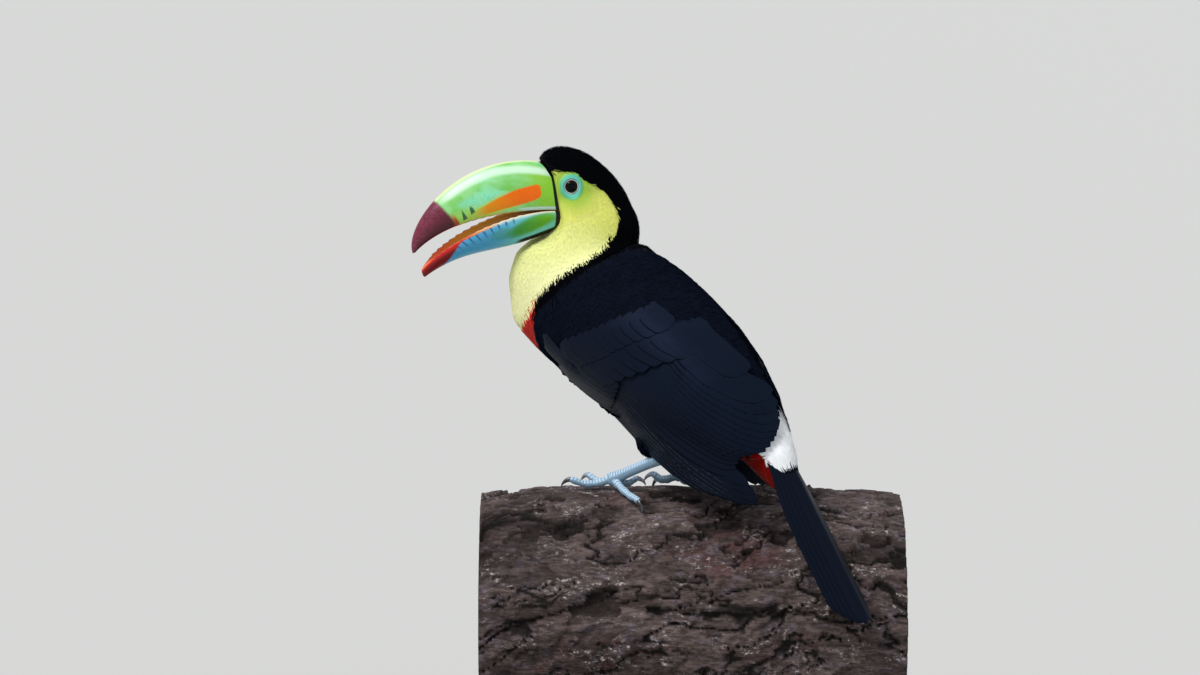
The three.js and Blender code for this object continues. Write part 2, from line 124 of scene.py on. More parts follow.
class Value:
    # A number that changes over a surface; sums on it add Math nodes.
    def __init__(self, finish, socket):
        self.finish = finish
        self.socket = socket

    def math(self, operation, *values):
        return self.finish.add("ShaderNodeMath", {"operation": operation}, dict(enumerate(values)))

    def __add__(self, other):
        return self.math("ADD", self, other)

    def __sub__(self, other):
        return self.math("SUBTRACT", self, other)

    def __rsub__(self, other):
        return self.math("SUBTRACT", other, self)

    def __mul__(self, other):
        return self.math("MULTIPLY", self, other)

    def __truediv__(self, other):
        return self.math("DIVIDE", self, other)

    def __pow__(self, other):
        return self.math("POWER", self, other)

    __radd__ = __add__
    __rmul__ = __mul__

    def size(self):
        return self.math("ABSOLUTE", self)

    def wave(self):
        return self.math("SINE", self)

    def least(self, other):
        return self.math("MINIMUM", self, other)

    def most(self, other):
        return self.math("MAXIMUM", self, other)

    def rise(self, low, high):
        # 0 below low, 1 above high; it falls instead where low is above high.
        settings = {"interpolation_type": "SMOOTHSTEP"}
        if low < high:
            return self.finish.add("ShaderNodeMapRange", settings, {0: self, 1: low, 2: high})
        return 1 - self.finish.add("ShaderNodeMapRange", settings, {0: self, 1: high, 2: low})


class Finish:
    # A material; fixed numbers go straight on the shader's own sockets.
    def __init__(self, name, **fixed):
        self.material = bpy.data.materials.new(name)
        self.material.use_nodes = True
        self.tree = self.material.node_tree
        self.shader = self.tree.nodes["Principled BSDF"]
        self.whole = None
        self.fitted = False
        for key, value in fixed.items():
            self.shader.inputs[key.replace("_", " ")].default_value = value

    def add(self, kind, settings=None, sockets=None, output=0):
        node = self.tree.nodes.new(kind)
        for key, value in (settings or {}).items():
            if key == "stops":
                self.setStops(node.color_ramp.elements, value)
            else:
                setattr(node, key, value)
        for key, value in (sockets or {}).items():
            if isinstance(value, Value):
                self.tree.links.new(value.socket, node.inputs[key])
            else:
                node.inputs[key].default_value = value
        return Value(self, node.outputs[output])

    def setStops(self, elements, stops):
        for index, (place, shade) in enumerate(stops):
            stop = elements[index] if index < 2 else elements.new(place)
            stop.position = place
            stop.color = shade

    def feed(self, socket, value):
        self.tree.links.new(value.socket, self.shader.inputs[socket])

    def place(self, scale=(1, 1, 1), turn=(0, 0, 0)):
        # Object coordinates in metres, stretched for a pattern.
        spot = self.add("ShaderNodeTexCoord", output="Object")
        return self.add("ShaderNodeMapping", {}, {"Vector": spot, "Scale": scale, "Rotation": turn})

    def spread(self):
        # Object coordinates that run from 0 to 1 over the whole piece, once fit has set them.
        if not self.whole:
            self.whole = self.place()
        return self.whole

    def fit(self, mesh):
        # The first piece that takes the finish sets how large its grain is.
        if self.whole and not self.fitted:
            places = perVertex(mesh)
            size = np.ptp(places, axis=0)
            mapping = self.whole.socket.node
            mapping.inputs["Location"].default_value = (-places.min(0) / size).tolist()
            mapping.inputs["Scale"].default_value = (1 / size).tolist()
            self.fitted = True

    def grain(self, scale, detail=3, at=None, rough=0.5):
        sockets = {"Vector": at or self.spread(), "Scale": scale, "Detail": detail, "Roughness": rough}
        return self.add("ShaderNodeTexNoise", {}, sockets, output="Fac")

    def attribute(self, name, output="Fac"):
        return self.add("ShaderNodeAttribute", {"attribute_name": name}, output=output)

    def mix(self, share, first, second):
        return self.add("ShaderNodeMix", {"data_type": "RGBA"}, {0: share, 6: first, 7: second}, output=2)

    def bump(self, height, distance, strength=1.0):
        sockets = {"Height": height, "Distance": distance, "Strength": strength}
        self.feed("Normal", self.add("ShaderNodeBump", {}, sockets))


def linked(name, data):
    thing = bpy.data.objects.new(name, data)
    bpy.context.scene.collection.objects.link(thing)
    return thing


def meshOf(name, shape):
    mesh = bpy.data.meshes.new(name)
    shape.to_mesh(mesh)
    shape.free()
    return mesh


def perVertex(mesh, key="co"):
    flat = np.empty(len(mesh.vertices) * 3)
    mesh.vertices.foreach_get(key, flat)
    return flat.reshape(-1, 3)


def mark(mesh, key, values):
    mesh.attributes.new(key, "FLOAT", "POINT").data.foreach_set("value", values)


def shadeAs(mesh, normals):
    mesh.polygons.foreach_set("use_smooth", np.ones(len(mesh.polygons), bool))
    mesh.normals_split_custom_set_from_vertices(unit(normals))


def finishPiece(name, mesh, finish, nodes=()):
    piece = linked(name, mesh)
    mesh.materials.clear()
    mesh.materials.append(finish.material)
    finish.fit(mesh)
    mesh.polygons.foreach_set("use_smooth", np.ones(len(mesh.polygons), bool))
    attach(piece, "root")
    if nodes:
        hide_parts(*nodes)
    return piece


# A grid bent into a shape: bend takes u and v from 0 to 1 and returns places in metres.
def bentGrid(name, columns, rows, bend, extra=None):
    shape = bmesh.new()
    bmesh.ops.create_grid(shape, x_segments=columns, y_segments=rows, size=0.5)
    spread = shape.loops.layers.uv.new("spread")
    for face in shape.faces:
        for loop in face.loops:
            loop[spread].uv = (loop.vert.co.x + 0.5, loop.vert.co.y + 0.5)
    mesh = meshOf(name, shape)
    u, v = perVertex(mesh).T[:2] + 0.5
    mesh.vertices.foreach_set("co", bend(u, v).ravel())
    for key, values in (extra(u, v) if extra else {}).items():
        mark(mesh, key, values)
    shape = bmesh.new()
    shape.from_mesh(mesh)
    bmesh.ops.remove_doubles(shape, verts=shape.verts, dist=2e-6)
    bmesh.ops.dissolve_degenerate(shape, edges=shape.edges, dist=1e-7)
    bmesh.ops.recalc_face_normals(shape, faces=shape.faces)
    shape.to_mesh(mesh)
    shape.free()
    return mesh


def joined(name, meshes):
    shape = bmesh.new()
    for mesh in meshes:
        shape.from_mesh(mesh)
    whole = meshOf(name, shape)
    for mesh in meshes:
        bpy.data.meshes.remove(mesh)
    return whole


# From the tail's root to the bill's base: along, up and turn as the trunk twists into the neck.
spineStations = {
    "trunk": [(-135, 0, 0), (-120, 20, 0), (-93, 53, 0), (-66, 71, 0), (-30, 90, 0), (6, 112, 0),
              (38, 134, -5), (56, 158, -20), (61, 180, -38)],
    "head": [(-7, 197), (6, 205), (24, 208)],
}
spinePoints = []
for along, up, turn in spineStations["trunk"]:
    spinePoints.append([*inBody.place(along, 0, up), heading["body"] + turn])
for along, up in spineStations["head"]:
    spinePoints.append([*inHead.place(along, 0, up), heading["head"]])
spine = curveThrough(spinePoints)(np.linspace(0, 1, 400))
spineAt = spine[:, :3]
spineWay = unit(np.gradient(spineAt, axis=0))
spineTurn = np.radians(spine[:, 3])
spineSide = np.stack([np.sin(spineTurn), np.cos(spineTurn), 0 * spineTurn], -1)
spineSide = unit(spineSide - spineWay * (spineSide * spineWay).sum(-1, keepdims=True))
spineBack = np.cross(spineSide, spineWay)
spineRun = np.concatenate([[0], np.cumsum(np.linalg.norm(np.diff(spineAt, axis=0), axis=1))]) / mm


def onSpine(points):
    # Nearest place on the line: its number, millimetres from the tail, and degrees from the belly.
    nearest = np.empty(len(points), int)
    for start in range(0, len(points), 4000):
        part = points[start:start + 4000]
        far = ((part[:, None] - spineAt[None]) ** 2).sum(-1)
        nearest[start:start + 4000] = far.argmin(1)
    off = points - spineAt[nearest]
    side = (off * spineSide[nearest]).sum(-1)
    back = (off * spineBack[nearest]).sum(-1)
    return nearest, spineRun[nearest], np.degrees(np.arctan2(side, -back))


tone = {
    # The black's blue is painted sheen: the bluish gloss of black feathers, put into their colour.
    "black": colour(12, 17, 28),
    "nape": colour(9, 10, 14),
    "lemon": colour(223, 228, 112),
    "paleLemon": colour(255, 255, 212),
    "lime": colour(160, 202, 70),
    "red": colour(196, 30, 22),
    "white": colour(248, 251, 255),
    "crimson": colour(120, 8, 3),
}
# A run is in millimetres from the tail along the line, and an angle in degrees from the belly.
bib = {
    "lowerAngle": [0, 30, 45, 54, 61, 81, 96, 114, 125],
    "lowerRun": [239, 239.5, 242.5, 243.5, 244.5, 246, 247, 248, 252],
    "upperRun": [250, 252, 267, 284, 293, 299, 307, 313, 318, 328],
    "upperAngle": [118, 125, 132, 129, 129, 127, 126, 133, 137, 139],
    "redAngle": [0, 26, 36, 46],
    "redRun": [228, 229.5, 234.5, 241],
    "bandAngle": 47, "crownRun": 236, "faceReach": 21, "faceFrom": -6,
    # The yellow is greener near the eye, within these two reaches, and paler below this run.
    "greenReach": (8, 22), "paleRun": (238, 300), "palest": 0.65,
}
coverts = {"whiteRun": (59, 65), "whiteAngle": (104, 135), "endRun": 31, "redRun": 68, "redAngle": 104}
eye = {"radius": 5.7, "along": 9.7, "side": 14.8, "up": 216.1, "inside": 8}


def mix(first, second, share):
    share = np.asarray(share, float)[..., None]
    return np.asarray(first) * (1 - share) + np.asarray(second) * share


def eyeReach(points):
    # How far a place is from the nearer eye's axis, in millimetres.
    head = inHead.read(points)
    far = np.hypot(head[:, 0] - eye["along"], head[:, 2] - eye["up"])
    return np.where(np.abs(head[:, 1]) > eye["inside"], far, 99.0)


def regions(points):
    # The part of the coat that each place belongs to, by name.
    number, run, angle = onSpine(points)
    angle = np.abs(angle)
    names = np.full(len(points), "body", object)
    lower = np.interp(angle, bib["lowerAngle"], bib["lowerRun"])
    upper = np.interp(run, bib["upperRun"], bib["upperAngle"])
    yellow = (run > lower) & (angle < upper)
    names[(run > bib["crownRun"]) & ~yellow] = "crown"
    names[yellow] = "bib"
    redLow = np.interp(angle, bib["redAngle"], bib["redRun"])
    names[(run <= lower) & (run > redLow) & (angle < bib["bandAngle"])] = "band"
    whiteRun = np.interp(angle, coverts["whiteAngle"], coverts["whiteRun"])
    names[(run < whiteRun) & (run > coverts["endRun"]) & (angle >= coverts["redAngle"])] = "white"
    names[(run < coverts["redRun"]) & (angle < coverts["redAngle"])] = "crimson"
    ahead = inHead.read(points)[:, 0]
    names[yellow & (eyeReach(points) < bib["faceReach"]) & (ahead > bib["faceFrom"])] = "face"
    return names, run


def markings(points):
    names, run = regions(points)
    tint = np.tile(tone["black"], (len(points), 1))
    tint[names == "crown"] = tone["nape"]
    yellow = (names == "bib") | (names == "face")
    green = 1 - smooth(eyeReach(points), *bib["greenReach"])
    fade = smooth(run, *bib["paleRun"])
    lemon = mix(tone["paleLemon"], tone["lemon"], 1 - bib["palest"] * (1 - fade))
    tint[yellow] = mix(lemon, tone["lime"], green * 0.95)[yellow]
    tint[names == "band"] = tone["red"]
    tint[names == "white"] = tone["white"]
    tint[names == "crimson"] = tone["crimson"]
    return tint


# Where a wing is felt for its outer face, in steps, and how much that face is eased.
feeling = {"along": (-122, 80, 7.0), "up": (-2, 170, 6.0), "from": 90, "ease": 60}


class WingFace:
    # The wing's outer face, smoothed: how far out it lies over a place in the body's plane.
    def __init__(self, node):
        mesh = bmesh.new()
        mesh.from_mesh(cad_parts[node].data)
        tree = BVHTree.FromBMesh(mesh)
        mesh.free()
        inward = Vector(inBody.axes[1])
        spots, values = [], []
        for along in np.arange(*feeling["along"]):
            for up in np.arange(*feeling["up"]):
                start = Vector(inBody.place(along, -feeling["from"], up))
                hit = tree.ray_cast(start, inward)[0]
                if hit:
                    spots.append((along, up))
                    values.append(-inBody.read(np.array(hit))[1])
        self.spots = np.array(spots)
        ridge = self.kernel(self.spots) + np.eye(len(spots)) * feeling["ease"]
        flat = np.c_[np.ones(len(spots)), self.spots]
        system = np.block([[ridge, flat], [flat.T, np.zeros((3, 3))]])
        solved = np.linalg.solve(system, np.concatenate([values, np.zeros(3)]))
        self.weights, self.flat = solved[:-3], solved[-3:]

    def kernel(self, places):
        far = ((places[:, None] - self.spots[None]) ** 2).sum(-1)
        return 0.5 * far * np.log(far + 1e-9)

    def out(self, along, up):
        places = np.stack([along, up], -1)
        return self.kernel(places) @ self.weights + self.flat[0] + places @ self.flat[1:]


wingFace = WingFace("wing_left")


skinMaking = {
    "nodes": ["head", "neck", "trunk", "tail_coverts", "thigh_left", "thigh_right"],
    "wings": ["wing_left", "wing_right"],
    "close": 0.4, "voxel": 1.7, "depth": 1.5, "smoothing": 6,
    "napeRun": (200, 340), "filling": 150, "easing": 30,
    # Where the flesh is fuller or leaner: a place, how far it reaches, and by how much.
    "swells": [(-17, 42, 204, 9, 1.4), (-13, 37, 190, 12, 5.4), (-9, 29, 179, 9, 6.0),
               (1, 20, 174, 9, -6.4), (-104, 41, 148, 9, -1.4), (-98, 41, 118, 13, 3.0),
               (-63, 8, 83, 12, 1.5), (-37, -10, 62, 15, 3.0), (-25, -22, 55, 14, 4.0),
               (-8, -28, 30, 12, 2.2), (95, -52, 58, 14, -2.5), (22, 13, 153, 13, 1.0),
               (34, 2, 143, 14, 1.5), (46, -9, 133, 14, 1.6), (56, -19, 121, 14, 1.8),
               (66, -28, 110, 14, 1.8), (76, -38, 97, 13, 1.6)],
    "napeFade": (12, 20), "cheekUp": (178, 192), "cheekAlong": (-16, -6),
    # The quills' part of a wing is cut off here, and below this edge the flesh keeps clear of the quills.
    "cutAt": (0, 0, 55), "cutWay": (0.26, 0, -1), "clear": 3.6, "mostClear": 7,
    "coverAlong": [-122, -112, -95, -75, -50, -20, 10, 40, 64],
    "coverUp": [55, 68, 86, 102, 116, 124, 118, 110, 102],
    "hollowInner": 5, "hollowOuter": 7.5, "hollowDeep": 2.6,
}


def nodeCopy(shape, name):
    part = bmesh.new()
    part.from_mesh(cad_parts[name].data)
    bmesh.ops.remove_doubles(part, verts=part.verts, dist=1e-5)
    if name in skinMaking["wings"]:
        # The quills below the covert feathers aren't flesh.
        at = Vector(inBody.place(*skinMaking["cutAt"]))
        way = Vector(inBody.place(*skinMaking["cutWay"]) - inBody.place(0, 0, 0))
        everything = part.verts[:] + part.edges[:] + part.faces[:]
        cut = bmesh.ops.bisect_plane(part, geom=everything, plane_co=at, plane_no=way, clear_outer=True)
        edges = [e for e in cut["geom_cut"] if isinstance(e, bmesh.types.BMEdge)]
        bmesh.ops.holes_fill(part, edges=edges)
        bmesh.ops.triangulate(part, faces=part.faces)
    part.normal_update()
    for vert in part.verts:
        vert.co += vert.normal * skinMaking["close"] * mm
    mesh = meshOf("copy", part)
    shape.from_mesh(mesh)
    bpy.data.meshes.remove(mesh)


def remeshed(name, shape, voxel):
    rough = meshOf(name, shape)
    holder = linked(name, rough)
    change = holder.modifiers.new("voxels", "REMESH")
    change.mode = "VOXEL"
    change.voxel_size = voxel * mm
    change.adaptivity = 0
    bpy.context.view_layer.update()
    mesh = bpy.data.meshes.new_from_object(holder.evaluated_get(bpy.context.evaluated_depsgraph_get()))
    bpy.data.objects.remove(holder)
    bpy.data.meshes.remove(rough)
    fine = bmesh.new()
    fine.from_mesh(mesh)
    bpy.data.meshes.remove(mesh)
    return fine


def paint(mesh, tint):
    colours = mesh.attributes.new("tint", "FLOAT_COLOR", "POINT")
    colours.data.foreach_set("color", np.asarray(tint, np.float32).ravel())


def pull(places, pairs):
    # From each place towards the middle of its neighbours.
    count = len(places)
    ends = np.concatenate([pairs, pairs[:, ::-1]])
    total = [np.bincount(ends[:, 0], places[ends[:, 1], k], count) for k in range(3)]
    return np.stack(total, -1) / np.bincount(ends[:, 0], minlength=count)[:, None] - places


def setPlaces(shape, places):
    for vert, place in zip(shape.verts, places):
        vert.co = place


def freshNormals(shape):
    shape.normal_update()
    return np.array([vert.normal for vert in shape.verts])


def fillNape(places, pairs):
    # The nape runs into the back with no crease: hollows there are filled, and edges eased a little.
    number, run, angle = onSpine(places)
    low, high = skinMaking["napeRun"]
    rising, falling = skinMaking["napeFade"]
    head = inHead.read(places)
    cheek = smooth(head[:, 2], *skinMaking["cheekUp"]) * smooth(head[:, 0], *skinMaking["cheekAlong"])
    nape = smooth(run, low, low + rising) * (1 - smooth(run, high - falling, high)) * (1 - cheek)
    for turn in range(skinMaking["filling"]):
        step = 0.6 * nape[:, None] * pull(places, pairs)
        if turn > skinMaking["easing"]:
            outward = unit(places - spineAt[number])
            step *= ((step * outward).sum(1) > 0)[:, None]
        places += step


def clearOfQuills(places):
    # Under the wings' quills the flesh keeps clear of them.
    along, side, up = inBody.read(places).T
    flat = np.stack([along, up], -1)
    gap = np.concatenate([np.linalg.norm(part[:, None] - wingFace.spots[None], axis=-1).min(1)
                          for part in np.array_split(flat, 20)])
    zone = smooth(np.interp(along, skinMaking["coverAlong"], skinMaking["coverUp"]) - up, 0, 9)
    zone *= 1 - smooth(gap, 4, 9)
    limit = wingFace.out(along, up) - skinMaking["clear"]
    over = np.clip(np.abs(side) - limit, 0, skinMaking["mostClear"]) * zone * (np.abs(side) > 8)
    return inBody.place(along, side - np.sign(side) * over, up)


def hollowEyes(shape):
    # The eyes look out of a shallow hollow.
    inner, outer = skinMaking["hollowInner"], skinMaking["hollowOuter"]
    for vert in shape.verts:
        along, side, up = inHead.read(np.array(vert.co))
        far = np.hypot(along - eye["along"], up - eye["up"])
        if far < outer and abs(side) > eye["inside"]:
            depth = skinMaking["hollowDeep"] * (1 - smooth(far, inner, outer))
            vert.co = Vector(inHead.place(along, side - np.sign(side) * depth, up))


def makeSkin():
    shape = bmesh.new()
    for name in skinMaking["nodes"] + skinMaking["wings"]:
        nodeCopy(shape, name)
    fine = remeshed("skin", shape, skinMaking["voxel"])
    fine.verts.index_update()
    pairs = np.array([[vert.index for vert in edge.verts] for edge in fine.edges])
    places = np.array([vert.co for vert in fine.verts])
    for _ in range(skinMaking["smoothing"]):
        places += 0.5 * pull(places, pairs)
    setPlaces(fine, places)
    normals = freshNormals(fine)
    for x, y, z, reach, amount in skinMaking["swells"]:
        near = np.exp(-(((places - crest) / mm - (x, y, z)) ** 2).sum(1) / reach**2)
        places += normals * (near * amount * mm)[:, None]
    fillNape(places, pairs)
    setPlaces(fine, places)
    places -= freshNormals(fine) * (skinMaking["depth"] + skinMaking["close"]) * mm
    setPlaces(fine, clearOfQuills(places))
    hollowEyes(fine)
    bmesh.ops.triangulate(fine, faces=fine.faces)
    tree = BVHTree.FromBMesh(fine)
    mesh = meshOf("skin", fine)
    paint(mesh, markings(perVertex(mesh)))
    piece = finishPiece("skin", mesh, makeSkinFinish(), skinMaking["nodes"])
    print("skin", len(mesh.polygons), "triangles")
    return piece, tree


def makeSkinFinish():
    finish = Finish("bareSkin", Roughness=0.7, Specular_IOR_Level=0.2, IOR=1.15)
    base = finish.attribute("tint", "Color")
    fleck = finish.grain(2600, 2)
    finish.feed("Base Color", finish.mix(fleck.rise(0.55, 0.72) * 0.25, base, colour(22, 28, 16)))
    finish.bump(finish.grain(1700, 3) + finish.grain(520, 2) * 0.7, 0.0004)
    return finish


skin, skinTree = makeSkin()


rows = {
    # Each row: roots and tips of its feathers from the first to the last, half width, count, and how
    # far out its first and last feathers lie; edge gives its feathers a painted sheen along one side.
    "primary": {
        "roots": [(22, 72), (10, 85), (-4, 99)], "half": 6.4, "count": 10, "out": (-2.3, -1.5), "edge": 1.0,
        "tips": [(-60, 14), (-78, 6), (-92, 2), (-101, 0), (-107, -1.5), (-111, -1), (-111, 4), (-107, 12)]},
    "secondary": {
        "roots": [(-4, 84), (-20, 96), (-36, 108), (-46, 118)], "half": 8.6, "count": 15, "out": (-1.4, -0.1),
        "tips": [(-96, 20), (-101, 27), (-105, 32.5), (-112, 35), (-118.5, 37), (-122.5, 43), (-123.5, 50),
                 (-121.5, 59), (-114, 73)]},
    "primaryCovert": {
        "roots": [(56, 92), (34, 99)], "half": 4.8, "count": 7, "out": (-1.2, -0.9),
        "tips": [(4, 60), (-6, 68), (-14, 78)]},
    "greater": {
        "roots": [(30, 100), (0, 112), (-30, 126), (-56, 126)], "half": 7.6, "count": 12, "out": (-0.7, -0.1),
        "tips": [(-3, 80), (-18, 84), (-36, 92), (-54, 100), (-70, 103), (-84, 100), (-98, 90)]},
    "median": {
        "roots": [(42, 111), (10, 124), (-22, 138)], "half": 7.0, "count": 11, "out": (-0.4, 0.1),
        "tips": [(16, 93), (-4, 100), (-24, 110), (-46, 120)]},
    "alula": {
        "roots": [(64, 108), (60, 116)], "half": 3.8, "count": 3, "out": (-0.7, -0.4),
        "tips": [(25, 84), (33, 92)]},
}
quill = {
    "columns": 20, "rows": 26, "sag": 0.035, "vary": 0.05, "bury": 3.4, "slope": 0.2, "cup": 0.14,
    "shaftAt": -0.12, "shaftWide": 0.07, "shaftHigh": 0.16, "top": 0.1, "under": -0.16,
    # Half width from root to tip, squared, and how far the far wing's tips are drawn along and up.
    "outlineAt": [0, 0.12, 0.55, 0.86, 0.95, 1], "outline": [0.12, 0.5, 1.0, 0.86, 0.5, 0.0],
    "farDrawn": (4, 9), "whole": 0.72,
}


def across(u):
    # Goes round a vane: from -1 to 1 over its outer face, and back along its inner one.
    return np.where(u < 0.5, 4 * u - 1, 3 - 4 * u)


def quillMesh(hand, root, tip, row, out):
    root, tip = np.array(root, float), np.array(tip, float)
    run = tip - root
    long = np.linalg.norm(run)
    ahead = run / long
    aside = np.array([-ahead[1], ahead[0]])
    half = row["half"] * dice.uniform(1 - quill["vary"], 1 + quill["vary"])

    def bend(u, v):
        x = across(u)
        outline = np.sqrt(np.clip(np.interp(v, quill["outlineAt"], quill["outline"]), 0, 1))
        off = quill["sag"] * np.sin(pi * v) * long + x * half * outline
        place = root + run * v[:, None] + aside * off[:, None]
        shaft = np.exp(-((x - quill["shaftAt"]) / quill["shaftWide"]) ** 2) * quill["shaftHigh"] * (1 - v)
        thick = np.where(u < 0.5, quill["top"] + shaft, quill["under"]) * (1 - 0.8 * np.abs(x) ** 3)
        # The lower edge lies over the next feather, and the upper one under its neighbour.
        shown = smooth(v, 0, 0.35)
        lay = out * shown - quill["bury"] * (1 - shown) + quill["slope"] * x
        lay -= quill["cup"] * x**2 * half / 8
        side = wingFace.out(place[:, 0], place[:, 1]) + lay + thick
        if hand > 0:
            past = smooth(-place[:, 0], 60, 112)
            along, up = quill["farDrawn"]
            place += np.stack([along * past, up * past * (1 - smooth(place[:, 1], 12, 45))], -1)
        return inBody.place(place[:, 0], hand * side, place[:, 1])

    def extra(u, v):
        return {"across": across(u), "down": v, "edge": np.full(len(u), row.get("edge", 0.0))}

    return bentGrid("quill", quill["columns"], quill["rows"], bend, extra=extra)


def makeWing(name, hand):
    meshes = []
    for row in rows.values():
        rootAt, tipAt = curveThrough(row["roots"]), curveThrough(row["tips"])
        for number in range(row["count"]):
            t = number / (row["count"] - 1)
            out = row["out"][0] * (1 - t) + row["out"][1] * t
            meshes.append(quillMesh(hand, rootAt(t), tipAt(t) + dice.normal(0, 0.3, 2), row, out))
    mesh = joined(f"wing_feathers_{name}", meshes)
    # The quills are shaded mostly as the wing's whole face, so that they lie softly over each other.
    along, side, up = inBody.read(perVertex(mesh)).T
    leanAlong = (wingFace.out(along + 2, up) - wingFace.out(along - 2, up)) / 4
    leanUp = (wingFace.out(along, up + 2) - wingFace.out(along, up - 2)) / 4
    whole = unit(inBody.place(-leanAlong, hand + 0 * side, -leanUp) - inBody.place(0, 0, 0))
    own = perVertex(mesh, "normal")
    share = quill["whole"] * smooth((own * whole).sum(1), 0.1, 0.5)[:, None]
    shadeAs(mesh, own * (1 - share) + whole * share)
    print("wing", name, len(mesh.polygons), "faces")
    return finishPiece(f"wing_feathers_{name}", mesh, quillFinish, [f"wing_{name}"])


def makeQuillFinish(name, tint, light, rough):
    finish = Finish(name, Roughness=rough, Specular_IOR_Level=0.4, IOR=1.22, Specular_Tint=blueGloss)
    wide, down = finish.attribute("across"), finish.attribute("down")
    cloud = finish.grain(130, 3)
    shade = finish.mix(cloud, tint, light)
    # Pale silver patches along one edge of the primaries are painted sheen.
    silver = finish.attribute("edge") * wide.rise(0.84, 0.92)
    silver = silver * down.rise(0.2, 0.4) * (1 - down.rise(0.8, 0.95))
    shade = finish.mix(silver * cloud.rise(0.35, 0.6) * 0.65, shade, colour(96, 108, 124))
    # Dark lines run down each tail feather's middle and along its edges: the middle line marks the shaft, and
    # the edge lines are painted shade in the gaps between the feathers.
    line = (1 - wide.size().rise(0.02, 0.07)) + wide.size().rise(0.9, 0.95)
    shade = finish.mix(finish.attribute("shaft") * line * 0.7, shade, colour(4, 6, 10))
    finish.feed("Base Color", shade)
    barb = ((down * 420 - wide.size() * 60) + cloud * 3).wave() * 0.5 + 0.5
    finish.bump(barb * 0.5 + finish.grain(700, 2), 0.00003)
    finish.feed("Roughness", cloud * 0.16 + (rough - 0.08))
    return finish


blueGloss = colour(140, 175, 245)
# The quills' blue is partly painted sheen, put into their colour on top of their own blue gloss.
quillFinish = makeQuillFinish("quills", colour(9, 13, 21), colour(16, 23, 37), 0.48)
wings = [makeWing(name, hand) for name, hand in (("left", -1), ("right", 1))]


# For each part of the coat: spacing, length, half width and lift of a vane, in millimetres, its rings
# from root to tip, how wild it lies, how rounded it is shaded, how much its colour varies, how dark
# it is at the root, and the strands it splits into and how far they fan out.
coat = {
    "face": {"spacing": 0.85, "long": 3.2, "half": 0.34, "lift": 0.35, "rings": 3, "wild": 8,
             "round": 0.12, "vary": 0.04, "root": 0.94},
    "bib": {"spacing": 0.86, "long": 7.5, "half": 0.42, "lift": 0.3, "rings": 3, "wild": 3,
            "round": 0.04, "vary": 0.02, "root": 1.0},
    "band": {"spacing": 1.0, "long": 7.5, "half": 0.45, "lift": 0.7, "rings": 3, "wild": 6,
             "round": 0.2, "vary": 0.1, "root": 0.85},
    "crown": {"spacing": 1.15, "long": 6.5, "half": 0.42, "lift": 1.5, "rings": 3, "wild": 9,
              "round": 0.3, "vary": 0.15, "root": 0.8},
    "body": {"spacing": 2.9, "long": 14, "half": 1.9, "lift": 0.9, "rings": 4, "wild": 5,
             "round": 0.3, "vary": 0.15, "root": 0.8, "strands": 3, "fan": 11},
    "thigh": {"spacing": 1.8, "long": 14, "half": 0.8, "lift": 2.2, "rings": 4, "wild": 12,
              "round": 0.3, "vary": 0.15, "root": 0.8},
    "white": {"spacing": 0.85, "long": 11, "half": 0.5, "lift": 0.7, "rings": 4, "wild": 6,
              "round": 0.1, "vary": 0.03, "root": 1.0},
    "crimson": {"spacing": 1.5, "long": 11, "half": 0.6, "lift": 0.5, "rings": 4, "wild": 4,
                "round": 0.2, "vary": 0.12, "root": 0.8},
}
growth = {
    "eyeBare": 9.5,  # no vanes this near an eye's axis
    "endBare": 19,  # nor on the back this near the tail
    "underWing": 0.009,  # nor this far under the quills, in metres
    "thigh": 0.45,  # from this share of a leg on, the coat is the thigh's
    "legReach": (15, 26), "legRun": (0.15, 0.6),  # where the coat turns down a leg
    "tries": 3.2, "nearest": 0.82,
}
hips = {"left": [(-1, -20, 64), (9, -34, 25.5)], "right": [(38, -8, 64), (55, -20, 27.5)]}


def lie(points, normals):
    # The way the coat lies, from the bill to the tail and down each leg, and how far a place is a leg's.
    way = -spineWay[onSpine(points)[0]]
    leg = np.zeros(len(points))
    for hip, sock in hips.values():
        top, bottom = crest + mm * np.array(hip), crest + mm * np.array(sock)
        axis = bottom - top
        t = np.clip(((points - top) @ axis) / (axis @ axis), 0, 1.3)
        far = np.linalg.norm(points - top - t[:, None] * axis, axis=1) / mm
        near = (1 - smooth(far, *growth["legReach"])) * smooth(t, *growth["legRun"])
        way = way * (1 - near[:, None]) + unit(axis) * near[:, None]
        leg = np.maximum(leg, near)
    way = way - normals * (way * normals).sum(-1, keepdims=True)
    return unit(way), leg


def skinTriangles():
    # The corners of the skin's triangles, their normals, and the part of the coat on each.
    mesh = skin.data
    corners = np.empty(len(mesh.polygons) * 3, int)
    mesh.polygons.foreach_get("vertices", corners)
    corners = corners.reshape(-1, 3).T
    normals = [perVertex(mesh, "normal")[corners[k]] for k in range(3)]
    a, b, c = (perVertex(mesh)[corners[k]] for k in range(3))
    middle = (a + b + c) / 3
    facing = unit(np.cross(b - a, c - a))
    names = regions(middle)[0]
    names[(lie(middle, facing)[1] > growth["thigh"]) & (names == "body")] = "thigh"
    names[eyeReach(middle) < growth["eyeBare"]] = "bare"
    run, angle = onSpine(middle)[1:]
    names[(run < growth["endBare"]) & (np.abs(angle) > coverts["redAngle"])] = "bare"
    # Nothing grows where a wing's quills cover the skin.
    outward = inBody.axes[1] * np.sign(inBody.read(middle)[:, 1])[:, None]
    for index in np.flatnonzero((facing * outward).sum(1) > 0.1):
        for tree in wingTrees:
            if tree.ray_cast(middle[index].tolist(), outward[index].tolist(), growth["underWing"])[0]:
                names[index] = "covered"
    return (a, b, c), normals, names


